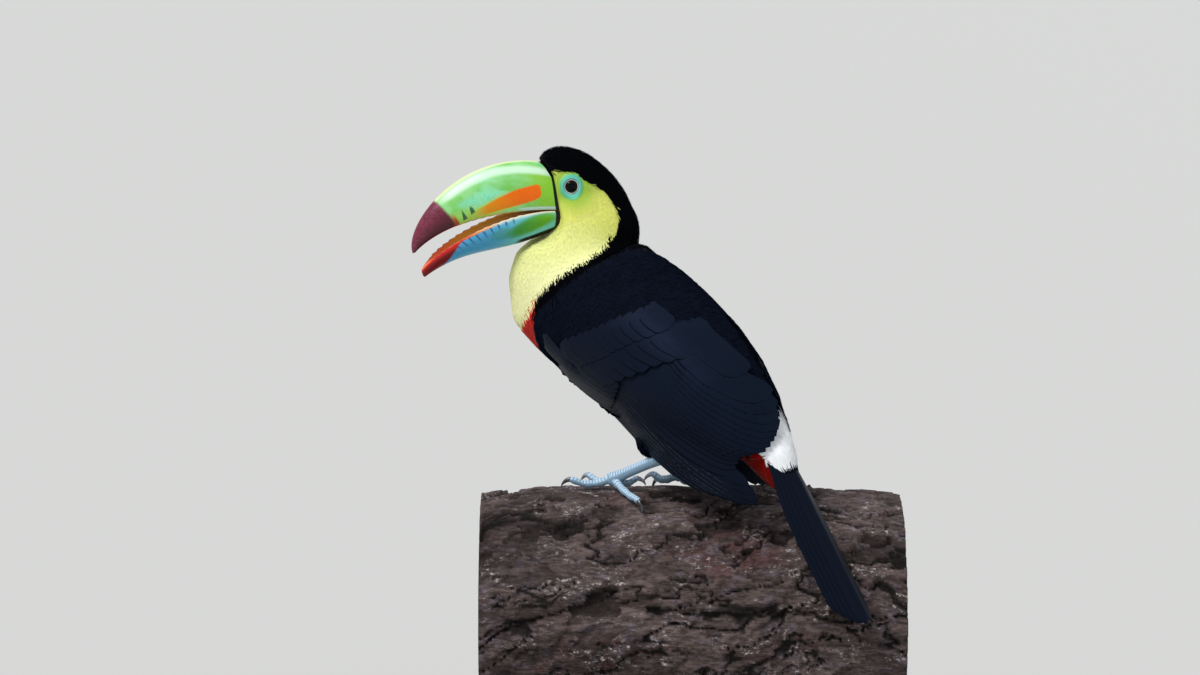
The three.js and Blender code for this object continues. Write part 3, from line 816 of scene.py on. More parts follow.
def scatter(spacing, part):
    # Places all over one part of the skin, about evenly apart.
    a, b, c = skinCorners
    area = np.where(skinParts == part, np.linalg.norm(np.cross(b - a, c - a), axis=1) / 2, 0)
    cell = spacing * mm
    count = int(growth["tries"] * area.sum() / cell**2)
    pick = dice.choice(len(area), count, p=area / area.sum())
    r, s = np.sqrt(dice.random((count, 1))), dice.random((count, 1))
    spots = (1 - r) * a[pick] + r * (1 - s) * b[pick] + r * s * c[pick]
    normals = smoothNormals(spots, pick)
    near = growth["nearest"] * cell
    keys = np.floor(spots / cell).astype(int).tolist()
    around = [(i, j, k) for i in (-1, 0, 1) for j in (-1, 0, 1) for k in (-1, 0, 1)]
    taken = {}
    kept = []
    for index, ((p, q, r), (x, y, z)) in enumerate(zip(keys, spots.tolist())):
        others = (other for i, j, k in around for other in taken.get((p + i, q + j, r + k), ()))
        if all((u - x) ** 2 + (v - y) ** 2 + (w - z) ** 2 >= near * near for u, v, w in others):
            taken.setdefault((p, q, r), []).append((x, y, z))
            kept.append(index)
    return spots[kept], normals[kept]


def smoothNormals(places, faces):
    # The skin's normals, blended between the corners of its triangles.
    a, b, c = (skinCorners[k][faces] for k in range(3))
    sides = ((b, c), (c, a), (a, b))
    weights = [np.linalg.norm(np.cross(q - places, r - places), axis=1) for q, r in sides]
    return unit(sum(weights[k][:, None] * cornerNormals[k][faces] for k in range(3)))


def follow(points, ways, step):
    # One step along the skin: the new places, the skin's normals there, and the ways turned to it.
    ahead = points + ways * step[:, None]
    found = [skinTree.find_nearest(p) for p in ahead.tolist()]
    places = np.array([f[0] for f in found])
    normals = smoothNormals(places, np.array([f[2] for f in found]))
    turned = ways - normals * (ways * normals).sum(-1, keepdims=True)
    return places, normals, unit(turned)


vane = {
    "outlineAt": [0, 0.25, 0.6, 0.85, 1], "outline": [0.45, 0.85, 1.0, 0.72, 0.0],
    "rooted": 0.5, "rise": 0.8, "ridge": 0.05, "roof": 0.28, "chart": 0.003,
}


# Vanes that follow the skin, all in one mesh: each ring has two edges and a ridge, and the tip a point.
def vanes(name, roots, normals, ways, long, half, lift, rings, roundness, tint, tips, chart):
    count = len(roots)
    share = np.linspace(0, 1, rings + 1)
    outline = np.interp(share, vane["outlineAt"], vane["outline"])
    places, skinNormals, turned = roots, normals, ways
    points, facing, sideways = [], [], []
    for k in range(rings + 1):
        if k:
            places, skinNormals, turned = follow(places, turned, long * mm / rings)
        height = (-vane["rooted"] + (lift + vane["rooted"]) * share[k] ** vane["rise"]) * mm
        centre = places + skinNormals * height[:, None]
        aside = np.cross(turned, skinNormals)
        size = (half * outline[k] * mm)[:, None]
        if k == rings:
            points.append(centre[:, None])
            facing.append(skinNormals[:, None])
            sideways.append([0.5])
        else:
            wide, low = aside * size, skinNormals * size * vane["roof"]
            ridge = centre + skinNormals * vane["ridge"] * mm
            points.append(np.stack([centre - wide - low, ridge, centre + wide - low], 1))
            lean = aside * roundness
            facing.append(np.stack([skinNormals - lean, skinNormals, skinNormals + lean], 1))
            sideways.append([0.0, 0.5, 1.0])
    each = 3 * rings + 1
    points = np.concatenate(points, 1)
    faces = [(2, 1, 0)]
    for k in range(rings - 1):
        a = 3 * k
        for i, j in ((0, 1), (1, 2), (2, 0)):
            faces += [(a + i, a + j, a + j + 3), (a + i, a + j + 3, a + i + 3)]
    last = 3 * (rings - 1)
    faces += [(last, last + 1, each - 1), (last + 1, last + 2, each - 1), (last + 2, last, each - 1)]
    faces = np.array(faces)
    index = (faces[None] + np.arange(count)[:, None, None] * each).reshape(-1, 3)
    mesh = bpy.data.meshes.new(name)
    mesh.vertices.add(count * each)
    mesh.loops.add(index.size)
    mesh.polygons.add(len(index))
    mesh.vertices.foreach_set("co", points.ravel())
    mesh.loops.foreach_set("vertex_index", index.ravel())
    mesh.polygons.foreach_set("loop_start", np.arange(0, index.size, 3))
    mesh.update(calc_edges=True)
    x = np.concatenate(sideways)
    y = np.concatenate([[share[k]] * (1 if k == rings else 3) for k in range(rings + 1)])
    patch = chart[:, None] + vane["chart"] * np.stack([x - 0.5, y - 0.5], -1)[None]
    bake = mesh.uv_layers.new(name="OFBake")
    bake.data.foreach_set("uv", patch.reshape(-1, 2)[index.ravel()].ravel())
    barbs = mesh.uv_layers.new(name="barbs")
    spread = np.tile(np.stack([x, y], -1), (count, 1))
    barbs.data.foreach_set("uv", spread[index.ravel()].ravel())
    shade = tint[:, None] * (1 - y[None, :, None]) + tips[:, None] * y[None, :, None]
    paint(mesh, shade.reshape(-1, 4))
    # The coat is shaded mostly as the skin below it, so that it looks soft.
    shadeAs(mesh, np.concatenate(facing, 1).reshape(-1, 3))
    return mesh


def skinChart(points):
    run, angle = onSpine(points)[1:]
    return np.stack([0.02 + 0.96 * (angle / 360 + 0.5), 0.02 + 0.96 * run / spineRun[-1]], -1)


def turnedBy(ways, normals, degreesOff):
    turn = np.radians(degreesOff)[:, None]
    return ways * np.cos(turn) + np.cross(normals, ways) * np.sin(turn)


def growCoat(name, part, finish):
    kind = coat[part]
    roots, normals = scatter(kind["spacing"], part)
    ways = lie(roots, normals)[0]
    tint = markings(roots)
    tint = tint * dice.uniform(1 - kind["vary"], 1 + kind["vary"], (len(roots), 1))
    tint[:, 3] = 1
    size = dice.uniform(0.8, 1.15, len(roots))
    lift = kind["lift"] * dice.uniform(0.75, 1.1, len(roots))
    turns = []
    strands = kind.get("strands", 1)
    for strand in range(strands):
        off = 0 if strands == 1 else (strand / (strands - 1) * 2 - 1) * kind["fan"]
        turns.append(turnedBy(ways, normals, off + dice.normal(0, kind["wild"], len(roots))))
    single = (roots, normals, size, lift, tint, skinChart(roots))
    roots, normals, size, lift, tint, chart = (np.concatenate([values] * strands) for values in single)
    long, half = kind["long"] * size, kind["half"] * size
    mesh = vanes(name, roots, normals, np.concatenate(turns), long, half, lift, kind["rings"],
                 kind["round"], tint * kind["root"], tint * 1.04, chart)
    print(name, len(roots), "feathers,", len(mesh.polygons), "triangles")
    return finishPiece(name, mesh, finish)


def plumage(name, rough, gloss, sheen, glow, relief):
    finish = Finish(name, Roughness=rough, Sheen_Weight=sheen, Sheen_Roughness=0.4, Sheen_Tint=glow,
                    Specular_IOR_Level=gloss, Specular_Tint=glow, IOR=1.2)
    finish.feed("Base Color", finish.attribute("tint", "Color"))
    spread = finish.add("ShaderNodeUVMap", {"uv_map": "barbs"})
    split = finish.add("ShaderNodeSeparateXYZ", {}, {0: spread})
    along = Value(finish, split.socket.node.outputs[1])
    slope = along * 24 + (split - 0.5).size() * 9
    finish.bump((slope * (2 * pi)).wave() * 0.5 + 0.5, relief)
    return finish


# The black coat has no gloss of its own; its blue sheen is painted into its colour.
blackPlumage = plumage("blackPlumage", 0.6, 0.0, 0.0, blueGloss, 0.00004)
softPlumage = plumage("softPlumage", 0.8, 0.15, 0.15, colour(255, 252, 235), 0.00002)

wingTrees = []
for wing in wings:
    shape = bmesh.new()
    shape.from_mesh(wing.data)
    wingTrees.append(BVHTree.FromBMesh(shape))
    shape.free()
skinCorners, cornerNormals, skinParts = skinTriangles()
growCoat("feathers_face", "face", softPlumage)
growCoat("feathers_bib", "bib", softPlumage)
growCoat("feathers_band", "band", softPlumage)
growCoat("feathers_crown", "crown", blackPlumage)
growCoat("feathers_body", "body", blackPlumage)
growCoat("feathers_thighs", "thigh", blackPlumage)
growCoat("feathers_white", "white", softPlumage)
growCoat("feathers_crimson", "crimson", softPlumage)
print("coat")


bill = {
    "halfWide": 16, "wall": 1.6, "columns": 72, "rows": 170, "outer": 0.76,
    "faceUp": [175, 179.5, 185, 196, 199, 210, 222, 229, 232.5, 252],
    "faceAlong": [33, 22.5, 18.5, 18.5, 19.5, 21.5, 23.4, 27.5, 31, 33],
    "teeth": 21, "toothDeep": 0.8,
    # How it narrows towards its tip, how full its cross-section is, how blunt its tip, how wide its lip.
    "taper": (0.3, 0.62), "full": (2.3, 0.56), "blunt": 0.012, "lip": 0.12,
}
upperBill = {
    "ridge": [(20, 230.4), (88.3, 246.2), (130.9, 185.1), (122, 165.9)],
    "edge": [(10, 197.9), (36.2, 200.9), (97.5, 197.1), (121, 166.5)], "hollow": 4.5, "toothed": (0.3, 0.72),
}
lowerBill = {
    "ridge": [(6, 188), (59.1, 160.1), (77.7, 175), (114.5, 147.8)],
    "edge": [(8, 196.4), (43, 204.4), (102.4, 175.1), (115.6, 153.6)], "hollow": 3, "toothed": (0.26, 0.9),
}


def mandible(name, half):
    ridgeAt, edgeAt = bezier(half["ridge"]), bezier(half["edge"])

    def section(u, v):
        t = 1 - (1 - v) ** 1.15
        top, low = ridgeAt(t), edgeAt(t)
        rise = top - low
        tall = np.maximum(np.linalg.norm(rise, axis=1), 1.2)
        rise = unit(rise)
        blunt = np.sqrt(np.clip((1 - t) / bill["blunt"], 0, 1))
        near, late = bill["taper"]
        wide = np.maximum(bill["halfWide"] * (1 - near * t - late * t**4), 1) * blunt
        turn = pi * np.minimum(u / bill["outer"], 1)
        high = np.sin(turn)
        high[u >= bill["outer"]] = 0
        first, second = bill["full"]
        full = np.maximum(1 - high**first, 0) ** second * (0.94 + 0.06 * np.minimum(1, high / 0.25))
        side = np.sign(np.cos(turn)) * wide * full
        floor = np.minimum(wide - bill["wall"] * blunt, wide * 0.8)
        w = np.clip((u - bill["outer"]) / (1 - bill["outer"]), 0, 1)
        inside = u > bill["outer"]
        lip = bill["lip"]
        cross = np.clip((w - lip) / (1 - 2 * lip), 0, 1) * 2 - 1
        rim = np.minimum(np.minimum(w, 1 - w) / lip, 1)
        side = np.where(inside, np.sign(cross) * wide * 0.94 * (1 - rim) + cross * floor * rim, side)
        sunk = np.minimum(half["hollow"], 0.35 * tall) * smooth(1 - t, 0.04, 0.25) * (1 - cross**4)
        lift = np.where(inside, sunk, high * tall * (0.25 + 0.75 * blunt))
        start, end = half["toothed"]
        saw = (t * bill["teeth"]) % 1
        tooth = np.minimum(saw / 0.75, (1 - saw) / 0.25)
        tooth *= smooth(t, start, start + 0.06) * (1 - smooth(t, end - 0.05, end))
        edge = np.where(inside, 1 - rim * 0.9, 1 - smooth(high, 0, 0.1))
        lift = lift - tooth * edge * bill["toothDeep"]
        along = low[:, 0] + rise[:, 0] * lift
        up = low[:, 1] + rise[:, 1] * lift
        return t, high, along, side, up, inside * rim

    def bend(u, v):
        return inHead.place(*section(u, v)[2:5])

    def extra(u, v):
        t, high, along, side, up, inner = section(u, v)
        base = along - np.interp(up, bill["faceUp"], bill["faceAlong"])
        return {"along": t, "rise": high, "base": base, "inner": inner}

    mesh = bentGrid(name, bill["columns"], bill["rows"], bend, extra=extra)
    shape = bmesh.new()
    shape.from_mesh(mesh)
    bmesh.ops.holes_fill(shape, edges=[e for e in shape.edges if e.is_boundary])
    bmesh.ops.recalc_face_normals(shape, faces=shape.faces)
    shape.to_mesh(mesh)
    shape.free()
    return mesh


def hornParts(name):
    finish = Finish(name, Roughness=0.34, Specular_IOR_Level=0.24, Coat_Weight=0.06, Coat_Roughness=0.15)
    return finish, *(finish.attribute(key) for key in ("along", "rise", "base", "inner"))


def ramp(finish, value, stops):
    greys = [(at, (level, level, level, 1)) for at, level in stops]
    return finish.add("ShaderNodeValToRGB", {"stops": greys}, {0: value})


flame = {
    "top": [(0.1, 0.52), (0.13, 0.54), (0.19, 0.505), (0.27, 0.465), (0.367, 0.395), (0.458, 0.325),
            (0.522, 0.28), (0.56, 0.235), (0.593, 0.175), (0.66, 0.1), (0.7, 0.07)],
    "low": [(0.1, 0.42), (0.125, 0.34), (0.15, 0.25), (0.19, 0.195), (0.27, 0.15), (0.35, 0.115),
            (0.43, 0.07), (0.5, 0.03), (0.57, 0)],
}


def upperHorn():
    finish, t, r, base, inner = hornParts("upperHorn")
    cloud = finish.grain(95, 3)
    broad = finish.grain(42, 3, at=finish.place(scale=(1, 1, 1.7)))
    tint = finish.mix(broad.rise(0.4, 0.62), colour(112, 190, 84), colour(140, 208, 134))
    lime = (1 - base.rise(7, 26)) * (1 - r.rise(0.75, 0.95))
    tint = finish.mix(lime * 0.8, tint, colour(134, 192, 34))
    pool = t.rise(0.26, 0.4) * (1 - t.rise(0.5, 0.58)) * r.rise(0.12, 0.3) * (1 - r.rise(0.5, 0.72))
    pool = pool * finish.grain(75, 3).rise(0.34, 0.56)
    tint = finish.mix(pool * 0.9, tint, colour(122, 222, 204))
    veil = finish.grain(50, 2, at=finish.place(scale=(1, 1, 2.4), turn=(0, 0.5, 0))).rise(0.52, 0.64)
    tint = finish.mix(veil * (1 - lime) * 0.5, tint, colour(146, 226, 184))
    tint = finish.mix(cloud.rise(0.55, 0.7) * (1 - pool) * 0.6, tint, colour(140, 208, 74))
    # A pale band under the ridge is a painted highlight, the sky's reflection along the bill, and the ridge
    # itself is edged with cream.
    centre = 0.8 + t.rise(0.0, 0.3) * 0.09
    pale = 1 - (r - centre).size().rise(0.03, 0.115)
    tint = finish.mix(pale * (1 - t.rise(0.5, 0.6)) * 0.75, tint, colour(214, 242, 222))
    cream = (r - 0.985 + t.rise(0.1, 0.45) * 0.02).rise(-0.008, 0.008)
    tint = finish.mix(cream * 0.75, tint, colour(228, 232, 184))
    ragged = finish.grain(420, 2) - 0.5
    # The orange flame lies between these two lines, from the bill's base towards its tip.
    top, low = ramp(finish, t, flame["top"]), ramp(finish, t, flame["low"])
    wander = (finish.grain(170, 2) - 0.5) * 0.045 + ragged * 0.02
    hot = (top - r + wander).rise(-0.016, 0.018) * (r - low + wander).rise(-0.012, 0.02)
    blunt = ((r - 0.43).size() / 0.13) ** 4 * 0.9
    hot = hot * (base + wander * 22 - blunt).rise(8.6, 9.9) * (1 - t.rise(0.7, 0.73))
    fringe = (top - r + wander).rise(-0.085, 0.0) * (r - low).rise(-0.03, 0.0) * base.rise(8.0, 9.6)
    fringe = fringe * t.rise(0.2, 0.45)
    tint = finish.mix(fringe * 0.8, tint, colour(176, 200, 62))
    heat = finish.mix((t + cloud * 0.1).rise(0.28, 0.56), colour(230, 100, 0), colour(214, 142, 6))
    heat = finish.mix(finish.grain(240, 3).rise(0.5, 0.72) * 0.45, heat, colour(234, 136, 4))
    tint = finish.mix(hot, tint, heat)
    # Ragged dark notches reach up from the mouth's edge behind the tip.
    lean = t + r * 0.185 + ragged * 0.006
    notch = ((lean * (2 * pi / 0.0525) - 0.04).wave() + 0.3 - (r - top) * 5 + ragged * 0.8).rise(0.0, 0.5)
    notch = notch * lean.rise(0.566, 0.572) * (1 - lean.rise(0.716, 0.722)) * (r - top).rise(-0.03, 0.01)
    notch = notch * (1 - (r - lean * 1.43 + 0.4 + ragged * 0.1).rise(-0.05, 0.03))
    tint = finish.mix(lean.rise(0.5, 0.6) * (1 - r.rise(0.3, 0.6)) * 0.8, tint, colour(150, 206, 84))
    tint = finish.mix(notch * 0.9, tint, colour(30, 72, 58))
    strip = (0.085 - r).rise(0.0, 0.02) * (1 - t.rise(0.3, 0.36))
    tint = finish.mix(strip * 0.85, tint, colour(192, 220, 218))
    wine = 0.568 + (1 - r).most(0) ** 1.3 * 0.137 + wander * 0.5
    ember = (t - wine + 0.034 + ragged * 0.03).rise(0, 0.022) * (1 - r.rise(0.3, 0.6))
    tint = finish.mix(ember * 0.9, tint, colour(168, 66, 26))
    # The maroon tip turns pinker and lighter towards the ridge: painted top light and sheen over its own dark
    # red.
    depth = finish.mix(r.rise(0.25, 0.95), colour(70, 6, 20), colour(122, 44, 68))
    depth = finish.mix(finish.grain(38, 2).rise(0.35, 0.68) * 0.6, depth, colour(72, 12, 36))
    depth = finish.mix((1 - r.rise(0.0, 0.22)) * t.rise(0.82, 0.96), depth, colour(150, 26, 32))
    tip = (t - wine).rise(-0.008, 0.012)
    tint = finish.mix(tip, tint, depth)
    finish.feed("Coat Weight", tip * 0.3 + 0.05)
    line = (1 - r.rise(0.012, 0.035)) * t.rise(0.3, 0.4)
    edging = finish.mix(t.rise(0.5, 0.62), colour(222, 170, 90), colour(196, 74, 30))
    tint = finish.mix(line, tint, edging)
    tint = finish.mix(inner, tint, finish.mix(cloud, colour(150, 84, 24), colour(96, 44, 26)))
    rim = 1 - (base - (1 - r.rise(0.1, 0.7)) * 0.7).rise(-0.25, 0.05)
    tint = finish.mix(rim, tint, colour(9, 9, 11))
    finish.feed("Base Color", tint)
    hornSurface(finish, inner, rim)
    return finish


def hornSurface(finish, inner, rim):
    finish.feed("Roughness", finish.grain(30, 4).rise(0.3, 0.7) * 0.12 + 0.25 + inner * 0.2)
    growth = finish.grain(900, 2, at=finish.place(scale=(0.25, 1, 1)))
    finish.bump(growth * 0.2 + finish.grain(160, 3) * 0.3 + rim * 1.3, 0.00025)


def lowerHorn():
    finish, t, r, base, inner = hornParts("lowerHorn")
    cloud = finish.grain(85, 3)
    ragged = finish.grain(420, 2) - 0.5
    tint = finish.mix(t.rise(0.22, 0.5), colour(104, 196, 200), colour(74, 158, 204))
    tint = finish.mix(cloud.rise(0.5, 0.68) * 0.4, tint, colour(84, 180, 188))
    smudge = 1 - (((t - 0.42) / 0.07) ** 2 + ((r - 0.42) / 0.24) ** 2 + (cloud - 0.5)).rise(0.3, 1.2)
    tint = finish.mix(smudge * 0.5, tint, colour(64, 150, 120))
    pale = (1 - r.rise(0.03, 0.13)) * (1 - t.rise(0.42, 0.55))
    tint = finish.mix(pale * 0.75, tint, colour(206, 224, 212))
    leaf = ((t - 0.235) / 0.155) ** 2 + ((r - 0.12 - t * 1.05) / 0.3) ** 2 + (cloud - 0.5) * 0.5
    green = finish.mix(t.rise(0.12, 0.34), colour(96, 168, 22), colour(60, 148, 62))
    tint = finish.mix(1 - leaf.rise(0.35, 1.4), tint, green)
    lean = t + r * 0.05 + ragged * 0.008
    reach = 0.2 + t.rise(0.34, 0.6) * 0.26
    reach = reach * (finish.grain(150, 1) * 1.6 + 0.2)
    stroke = (lean * (2 * pi / 0.0435) + 0.6).wave() - 0.35 - r / reach * 0.4 + ragged * 0.9
    stroke = stroke.rise(0.0, 0.4) * (1 - (r - reach).rise(-0.06, 0.05))
    stroke = stroke * lean.rise(0.33, 0.36) * (1 - lean.rise(0.74, 0.77)) * r.rise(0.035, 0.06)
    tint = finish.mix(stroke * 0.85, tint, colour(40, 76, 132))
    warm = (t - r * 0.9 - 0.4 + ragged * 0.06).rise(0.0, 0.03) * (1 - r.rise(0.05, 0.1))
    tint = finish.mix(warm, tint, finish.mix(t.rise(0.5, 0.66), colour(224, 150, 84), colour(208, 62, 34)))
    red = (t - r * 0.22 - 0.645 + ragged * 0.05).rise(-0.014, 0.016)
    deep = finish.mix((r + cloud * 0.3).rise(0.15, 0.5), colour(206, 40, 34), colour(122, 20, 24))
    tint = finish.mix(red, tint, deep)
    tint = finish.mix(r.rise(0.94, 0.985) * (1 - t.rise(0.75, 0.85)), tint, colour(202, 212, 160))
    tint = finish.mix((1 - r.rise(0.008, 0.03)) * (1 - t.rise(0.5, 0.6)), tint, colour(232, 214, 184))
    glow = finish.mix(cloud.rise(0.35, 0.65), colour(255, 194, 50), colour(255, 168, 30))
    glow = finish.mix(t.rise(0.6, 0.8), glow, colour(255, 120, 66))
    tint = finish.mix(inner, tint, glow)
    hook = (r + (0.33 - t) * 0.5).rise(0.8, 0.86) * (1 - t.rise(0.28, 0.33))
    rim = (1 - base.rise(1.4, 1.7)).most(hook)
    tint = finish.mix(rim, tint, colour(9, 9, 11))
    finish.feed("Base Color", tint)
    hornSurface(finish, inner, rim)
    return finish


finishPiece("bill_top", mandible("bill_top", upperBill), upperHorn(), ["bill_upper"])
finishPiece("bill_bottom", mandible("bill_bottom", lowerBill), lowerHorn(), ["bill_lower"])
print("bill")


def makeEye(name, hand):
    shape = bmesh.new()
    bmesh.ops.create_uvsphere(shape, u_segments=56, v_segments=40, radius=eye["radius"] * mm)
    middle = Vector(inHead.place(eye["along"], hand * eye["side"], eye["up"]))
    outward = Vector(inHead.axes[1]) * hand
    turn = outward.to_track_quat("Z", "Y").to_matrix()
    bmesh.ops.rotate(shape, verts=shape.verts, cent=(0, 0, 0), matrix=turn)
    bmesh.ops.translate(shape, verts=shape.verts, vec=middle)
    mesh = meshOf(f"eyeball_{name}", shape)
    off = perVertex(mesh) - np.array(middle)
    axis = np.array(outward)
    mark(mesh, "off", np.linalg.norm(off - (off @ axis)[:, None] * axis, axis=1) / mm)
    return finishPiece(f"eyeball_{name}", mesh, eyeFinish, [f"eye_{name}"])


def makeEyeFinish():
    finish = Finish("eyeball", Roughness=0.04, Specular_IOR_Level=0.12)
    off = finish.attribute("off")
    iris = finish.mix(finish.grain(900, 3), colour(6, 6, 5), colour(13, 12, 9))
    tint = finish.mix(off.rise(2.9, 3.2), colour(2, 2, 3), iris)
    tint = finish.mix(off.rise(4.1, 4.6), tint, colour(5, 5, 5))
    finish.feed("Base Color", tint)
    return finish


# The bare ring round an eye: how far from the eye's axis and how far out it lies, from its rim outwards.
bareRing = {
    "profile": [(4.2, 17.2), (4.5, 18.15), (4.85, 18.6), (5.2, 18.63), (5.45, 18.4), (5.7, 18.38),
                (6.2, 18.68), (7.1, 18.75), (8.1, 18.55), (9.2, 18.1), (10.2, 17.3)],
    "reach": 10.2, "level": 18.0, "folds": 34, "foldDeep": 0.06, "rippleDeep": 0.07, "tall": 0.1,
    "columns": 160, "rows": 44,
}


def makeRing(name, hand):
    # The height of the skin all round the eye, from a ray straight in.
    def skinSide(along, up):
        start = Vector(inHead.place(along, hand * 40, up))
        hit = skinTree.ray_cast(start, Vector(inHead.axes[1]) * -hand)[0]
        return abs(inHead.read(np.array(hit))[1]) if hit else eye["side"]

    turns = np.linspace(0, 2 * pi, 49)
    rim = bareRing["reach"]
    around = [skinSide(eye["along"] + rim * cos(a), eye["up"] + rim * sin(a)) for a in turns]
    profileAt = curveThrough(bareRing["profile"])

    def bend(u, v):
        turn = 2 * pi * u
        radius, side = profileAt(v).T
        radius = radius * (1 + 0.012 * np.sin(3 * turn + 1) * smooth(radius, 6, 8))
        outer = np.interp(turn % (2 * pi), turns, around)
        share = smooth(radius, 6.0, 9.6)
        side = side * (1 - share) + (outer + side - bareRing["level"]) * share
        side += bareRing["rippleDeep"] * np.sin(radius * 9.5) * smooth(radius, 6.2, 6.8)
        folds = np.sin(turn * bareRing["folds"] + 3 * np.sin(radius * 2.4))
        side += bareRing["foldDeep"] * folds * smooth(radius, 6.3, 7.2)
        tall = 1 + bareRing["tall"] * smooth(radius, 5.8, 8)
        along, up = radius * np.cos(turn), radius * tall * np.sin(turn)
        return inHead.place(eye["along"] + along, hand * side, eye["up"] + up)

    def extra(u, v):
        return {"off": profileAt(v)[:, 0]}

    mesh = bentGrid(f"eye_ring_{name}", bareRing["columns"], bareRing["rows"], bend, extra=extra)
    return finishPiece(f"eye_ring_{name}", mesh, ringFinish)


def makeRingFinish():
    finish = Finish("eyeRing", Roughness=0.42, Specular_IOR_Level=0.45)
    off = finish.attribute("off")
    tint = finish.mix(off.rise(4.62, 4.7), colour(8, 12, 11), colour(232, 240, 232))
    tint = finish.mix(off.rise(5.1, 5.25), tint, colour(30, 84, 70))
    tint = finish.mix(off.rise(5.55, 5.8), tint, colour(120, 212, 196))
    tint = finish.mix(off.rise(6.0, 7.0), tint, colour(82, 190, 164))
    tint = finish.mix(off.rise(7.2, 8.0), tint, colour(92, 184, 122))
    tint = finish.mix(off.rise(8.0, 9.4), tint, colour(146, 196, 76))
    tint = finish.mix(finish.grain(1500, 3).rise(0.5, 0.75) * 0.3, tint, colour(96, 176, 156))
    finish.feed("Base Color", tint)
    finish.bump(finish.grain(2400, 2), 0.00012)
    return finish


eyeFinish = makeEyeFinish()
ringFinish = makeRingFinish()
for name, hand in (("left", -1), ("right", 1)):
    makeEye(name, hand)
    makeRing(name, hand)
print("eyes")


tail = {
    "root": (-113, 42), "tip": (-194, -81), "slope": 22, "pairs": 5, "half": 7.6, "step": 2.9,
    "shorter": 1.6, "middle": 3.4, "under": 0.62, "shaftWide": 0.06, "shaftHigh": 0.3,
    "top": 0.14, "bottom": -0.2, "columns": 26, "rows": 60,
    "outlineAt": [0, 0.1, 0.6, 0.93, 0.98, 1], "outline": [0.5, 0.8, 1.0, 0.93, 0.62, 0.0],
}


def tailFeather(hand, pair):
    root, tip = np.array(tail["root"], float), np.array(tail["tip"], float)
    ahead = (tip - root) / np.linalg.norm(tip - root)
    upward = np.array([ahead[1], -ahead[0]])
    long = np.linalg.norm(tip - root) - 1.0 - tail["shorter"] * pair**1.5
    offset = hand * (tail["middle"] + tail["step"] * pair)

    def bend(u, v):
        x = across(u)
        spread = 0.62 + 0.38 * smooth(v, 0, 0.45)
        outline = np.interp(v, tail["outlineAt"], tail["outline"])
        aside = offset * spread + x * tail["half"] * outline * (0.75 + 0.25 * v)
        shaft = np.exp(-((x - hand * 0.15) / tail["shaftWide"]) ** 2) * tail["shaftHigh"] * (1 - 0.7 * v)
        thick = np.where(u < 0.5, tail["top"] + shaft, tail["bottom"]) * (1 - 0.8 * np.abs(x) ** 3)
        # The feathers lie as a low roof, each pair under the one before it, and cup a little.
        roof = -np.abs(aside) * sin(radians(tail["slope"])) + 3.5
        cup = -0.5 * x**2 - 0.12 * hand * x
        high = roof + 2.6 * (1 - 0.55 * v) - tail["under"] * pair + cup + thick - 0.5
        run = v * long
        return inBody.place(root[0] + ahead[0] * run + upward[0] * high, aside,
                            root[1] + ahead[1] * run + upward[1] * high)

    def extra(u, v):
        return {"across": across(u), "down": v, "shaft": np.ones(len(u))}

    return bentGrid("rectrix", tail["columns"], tail["rows"], bend, extra=extra)


def makeTail():
    meshes = [tailFeather(hand, pair) for pair in range(tail["pairs"]) for hand in (-1, 1)]
    mesh = joined("tail_feathers", meshes)
    # The tail's blue is partly painted sheen, put into its colour on top of its own gloss.
    finish = makeQuillFinish("tailQuills", colour(8, 11, 18), colour(15, 21, 33), 0.5)
    print("tail", len(mesh.polygons), "faces")
    return finishPiece("tail_feathers", mesh, finish, ["tail"])


makeTail()


branch = {"start": -122, "end": 182, "halfWide": 84, "halfTall": 89, "droop": 6.5, "droopAfter": (-60, 110)}
foot = {
    "jointHeight": 7.2, "toeHeight": 3.4, "thick": 3.0, "tip": 2.3, "lift": 3.4, "pad": 9.5, "padFull": 0.06,
    "shank": 3.75, "shankLong": 46, "scute": 2.35, "scuteHigh": 0.2, "voxel": 0.42, "smoothing": 4,
}
claw = {"thick": 1.75, "arc": 6.6, "hook": 82, "inside": 1.6}
legs = {
    # Each toe is its length and its direction, in degrees from the branch's line.
    "left": {"joint": (-27, -12), "ankle": (8, -35, 25.5), "pale": (1, 2),
             "toes": [(18, 5), (23, 142), (31, 182), (35, -58)]},
    "right": {"joint": (21, 4), "ankle": (54, -20, 26), "pale": (1, 2, 4),
              "toes": [(16, -62), (20, 165), (34, 118), (36, -45)]},
}


def crestAt(x):
    low, high = branch["droopAfter"]
    past = np.maximum((low - x) / (low - branch["start"]), (x - high) / (branch["end"] - high))
    return 1 - branch["droop"] * np.maximum(past, 0) ** 2


def onBranch(x, y, h):
    # The place h above the bark over x and y, in millimetres.
    level = np.sqrt(1 - (y / branch["halfWide"]) ** 2)
    out = unit(np.stack([0 * level, y / branch["halfWide"] ** 2, level / branch["halfTall"]], -1))
    top = np.stack([x + 0 * level, y + 0 * level, crestAt(x) - branch["halfTall"] * (1 - level)], -1)
    return top + out * np.asarray(h)[..., None]


def toeHeight(t):
    start = foot["jointHeight"] - 0.8
    lying = start + (foot["toeHeight"] - start) * smooth(t, 0, 0.45)
    return lying + foot["lift"] * smooth(t, 0.62, 1) + 0.3


def toePath(leg, toe, t):
    long, direction = toe
    x = leg["joint"][0] + t * long * cos(radians(direction))
    y = leg["joint"][1] + t * long * sin(radians(direction))
    return onBranch(x, y, toeHeight(t))


def shankPath(leg, t):
    start = onBranch(*(np.array(v, float) for v in leg["joint"]), foot["jointHeight"])
    return start + (np.array(leg["ankle"]) - start) * t[:, None]


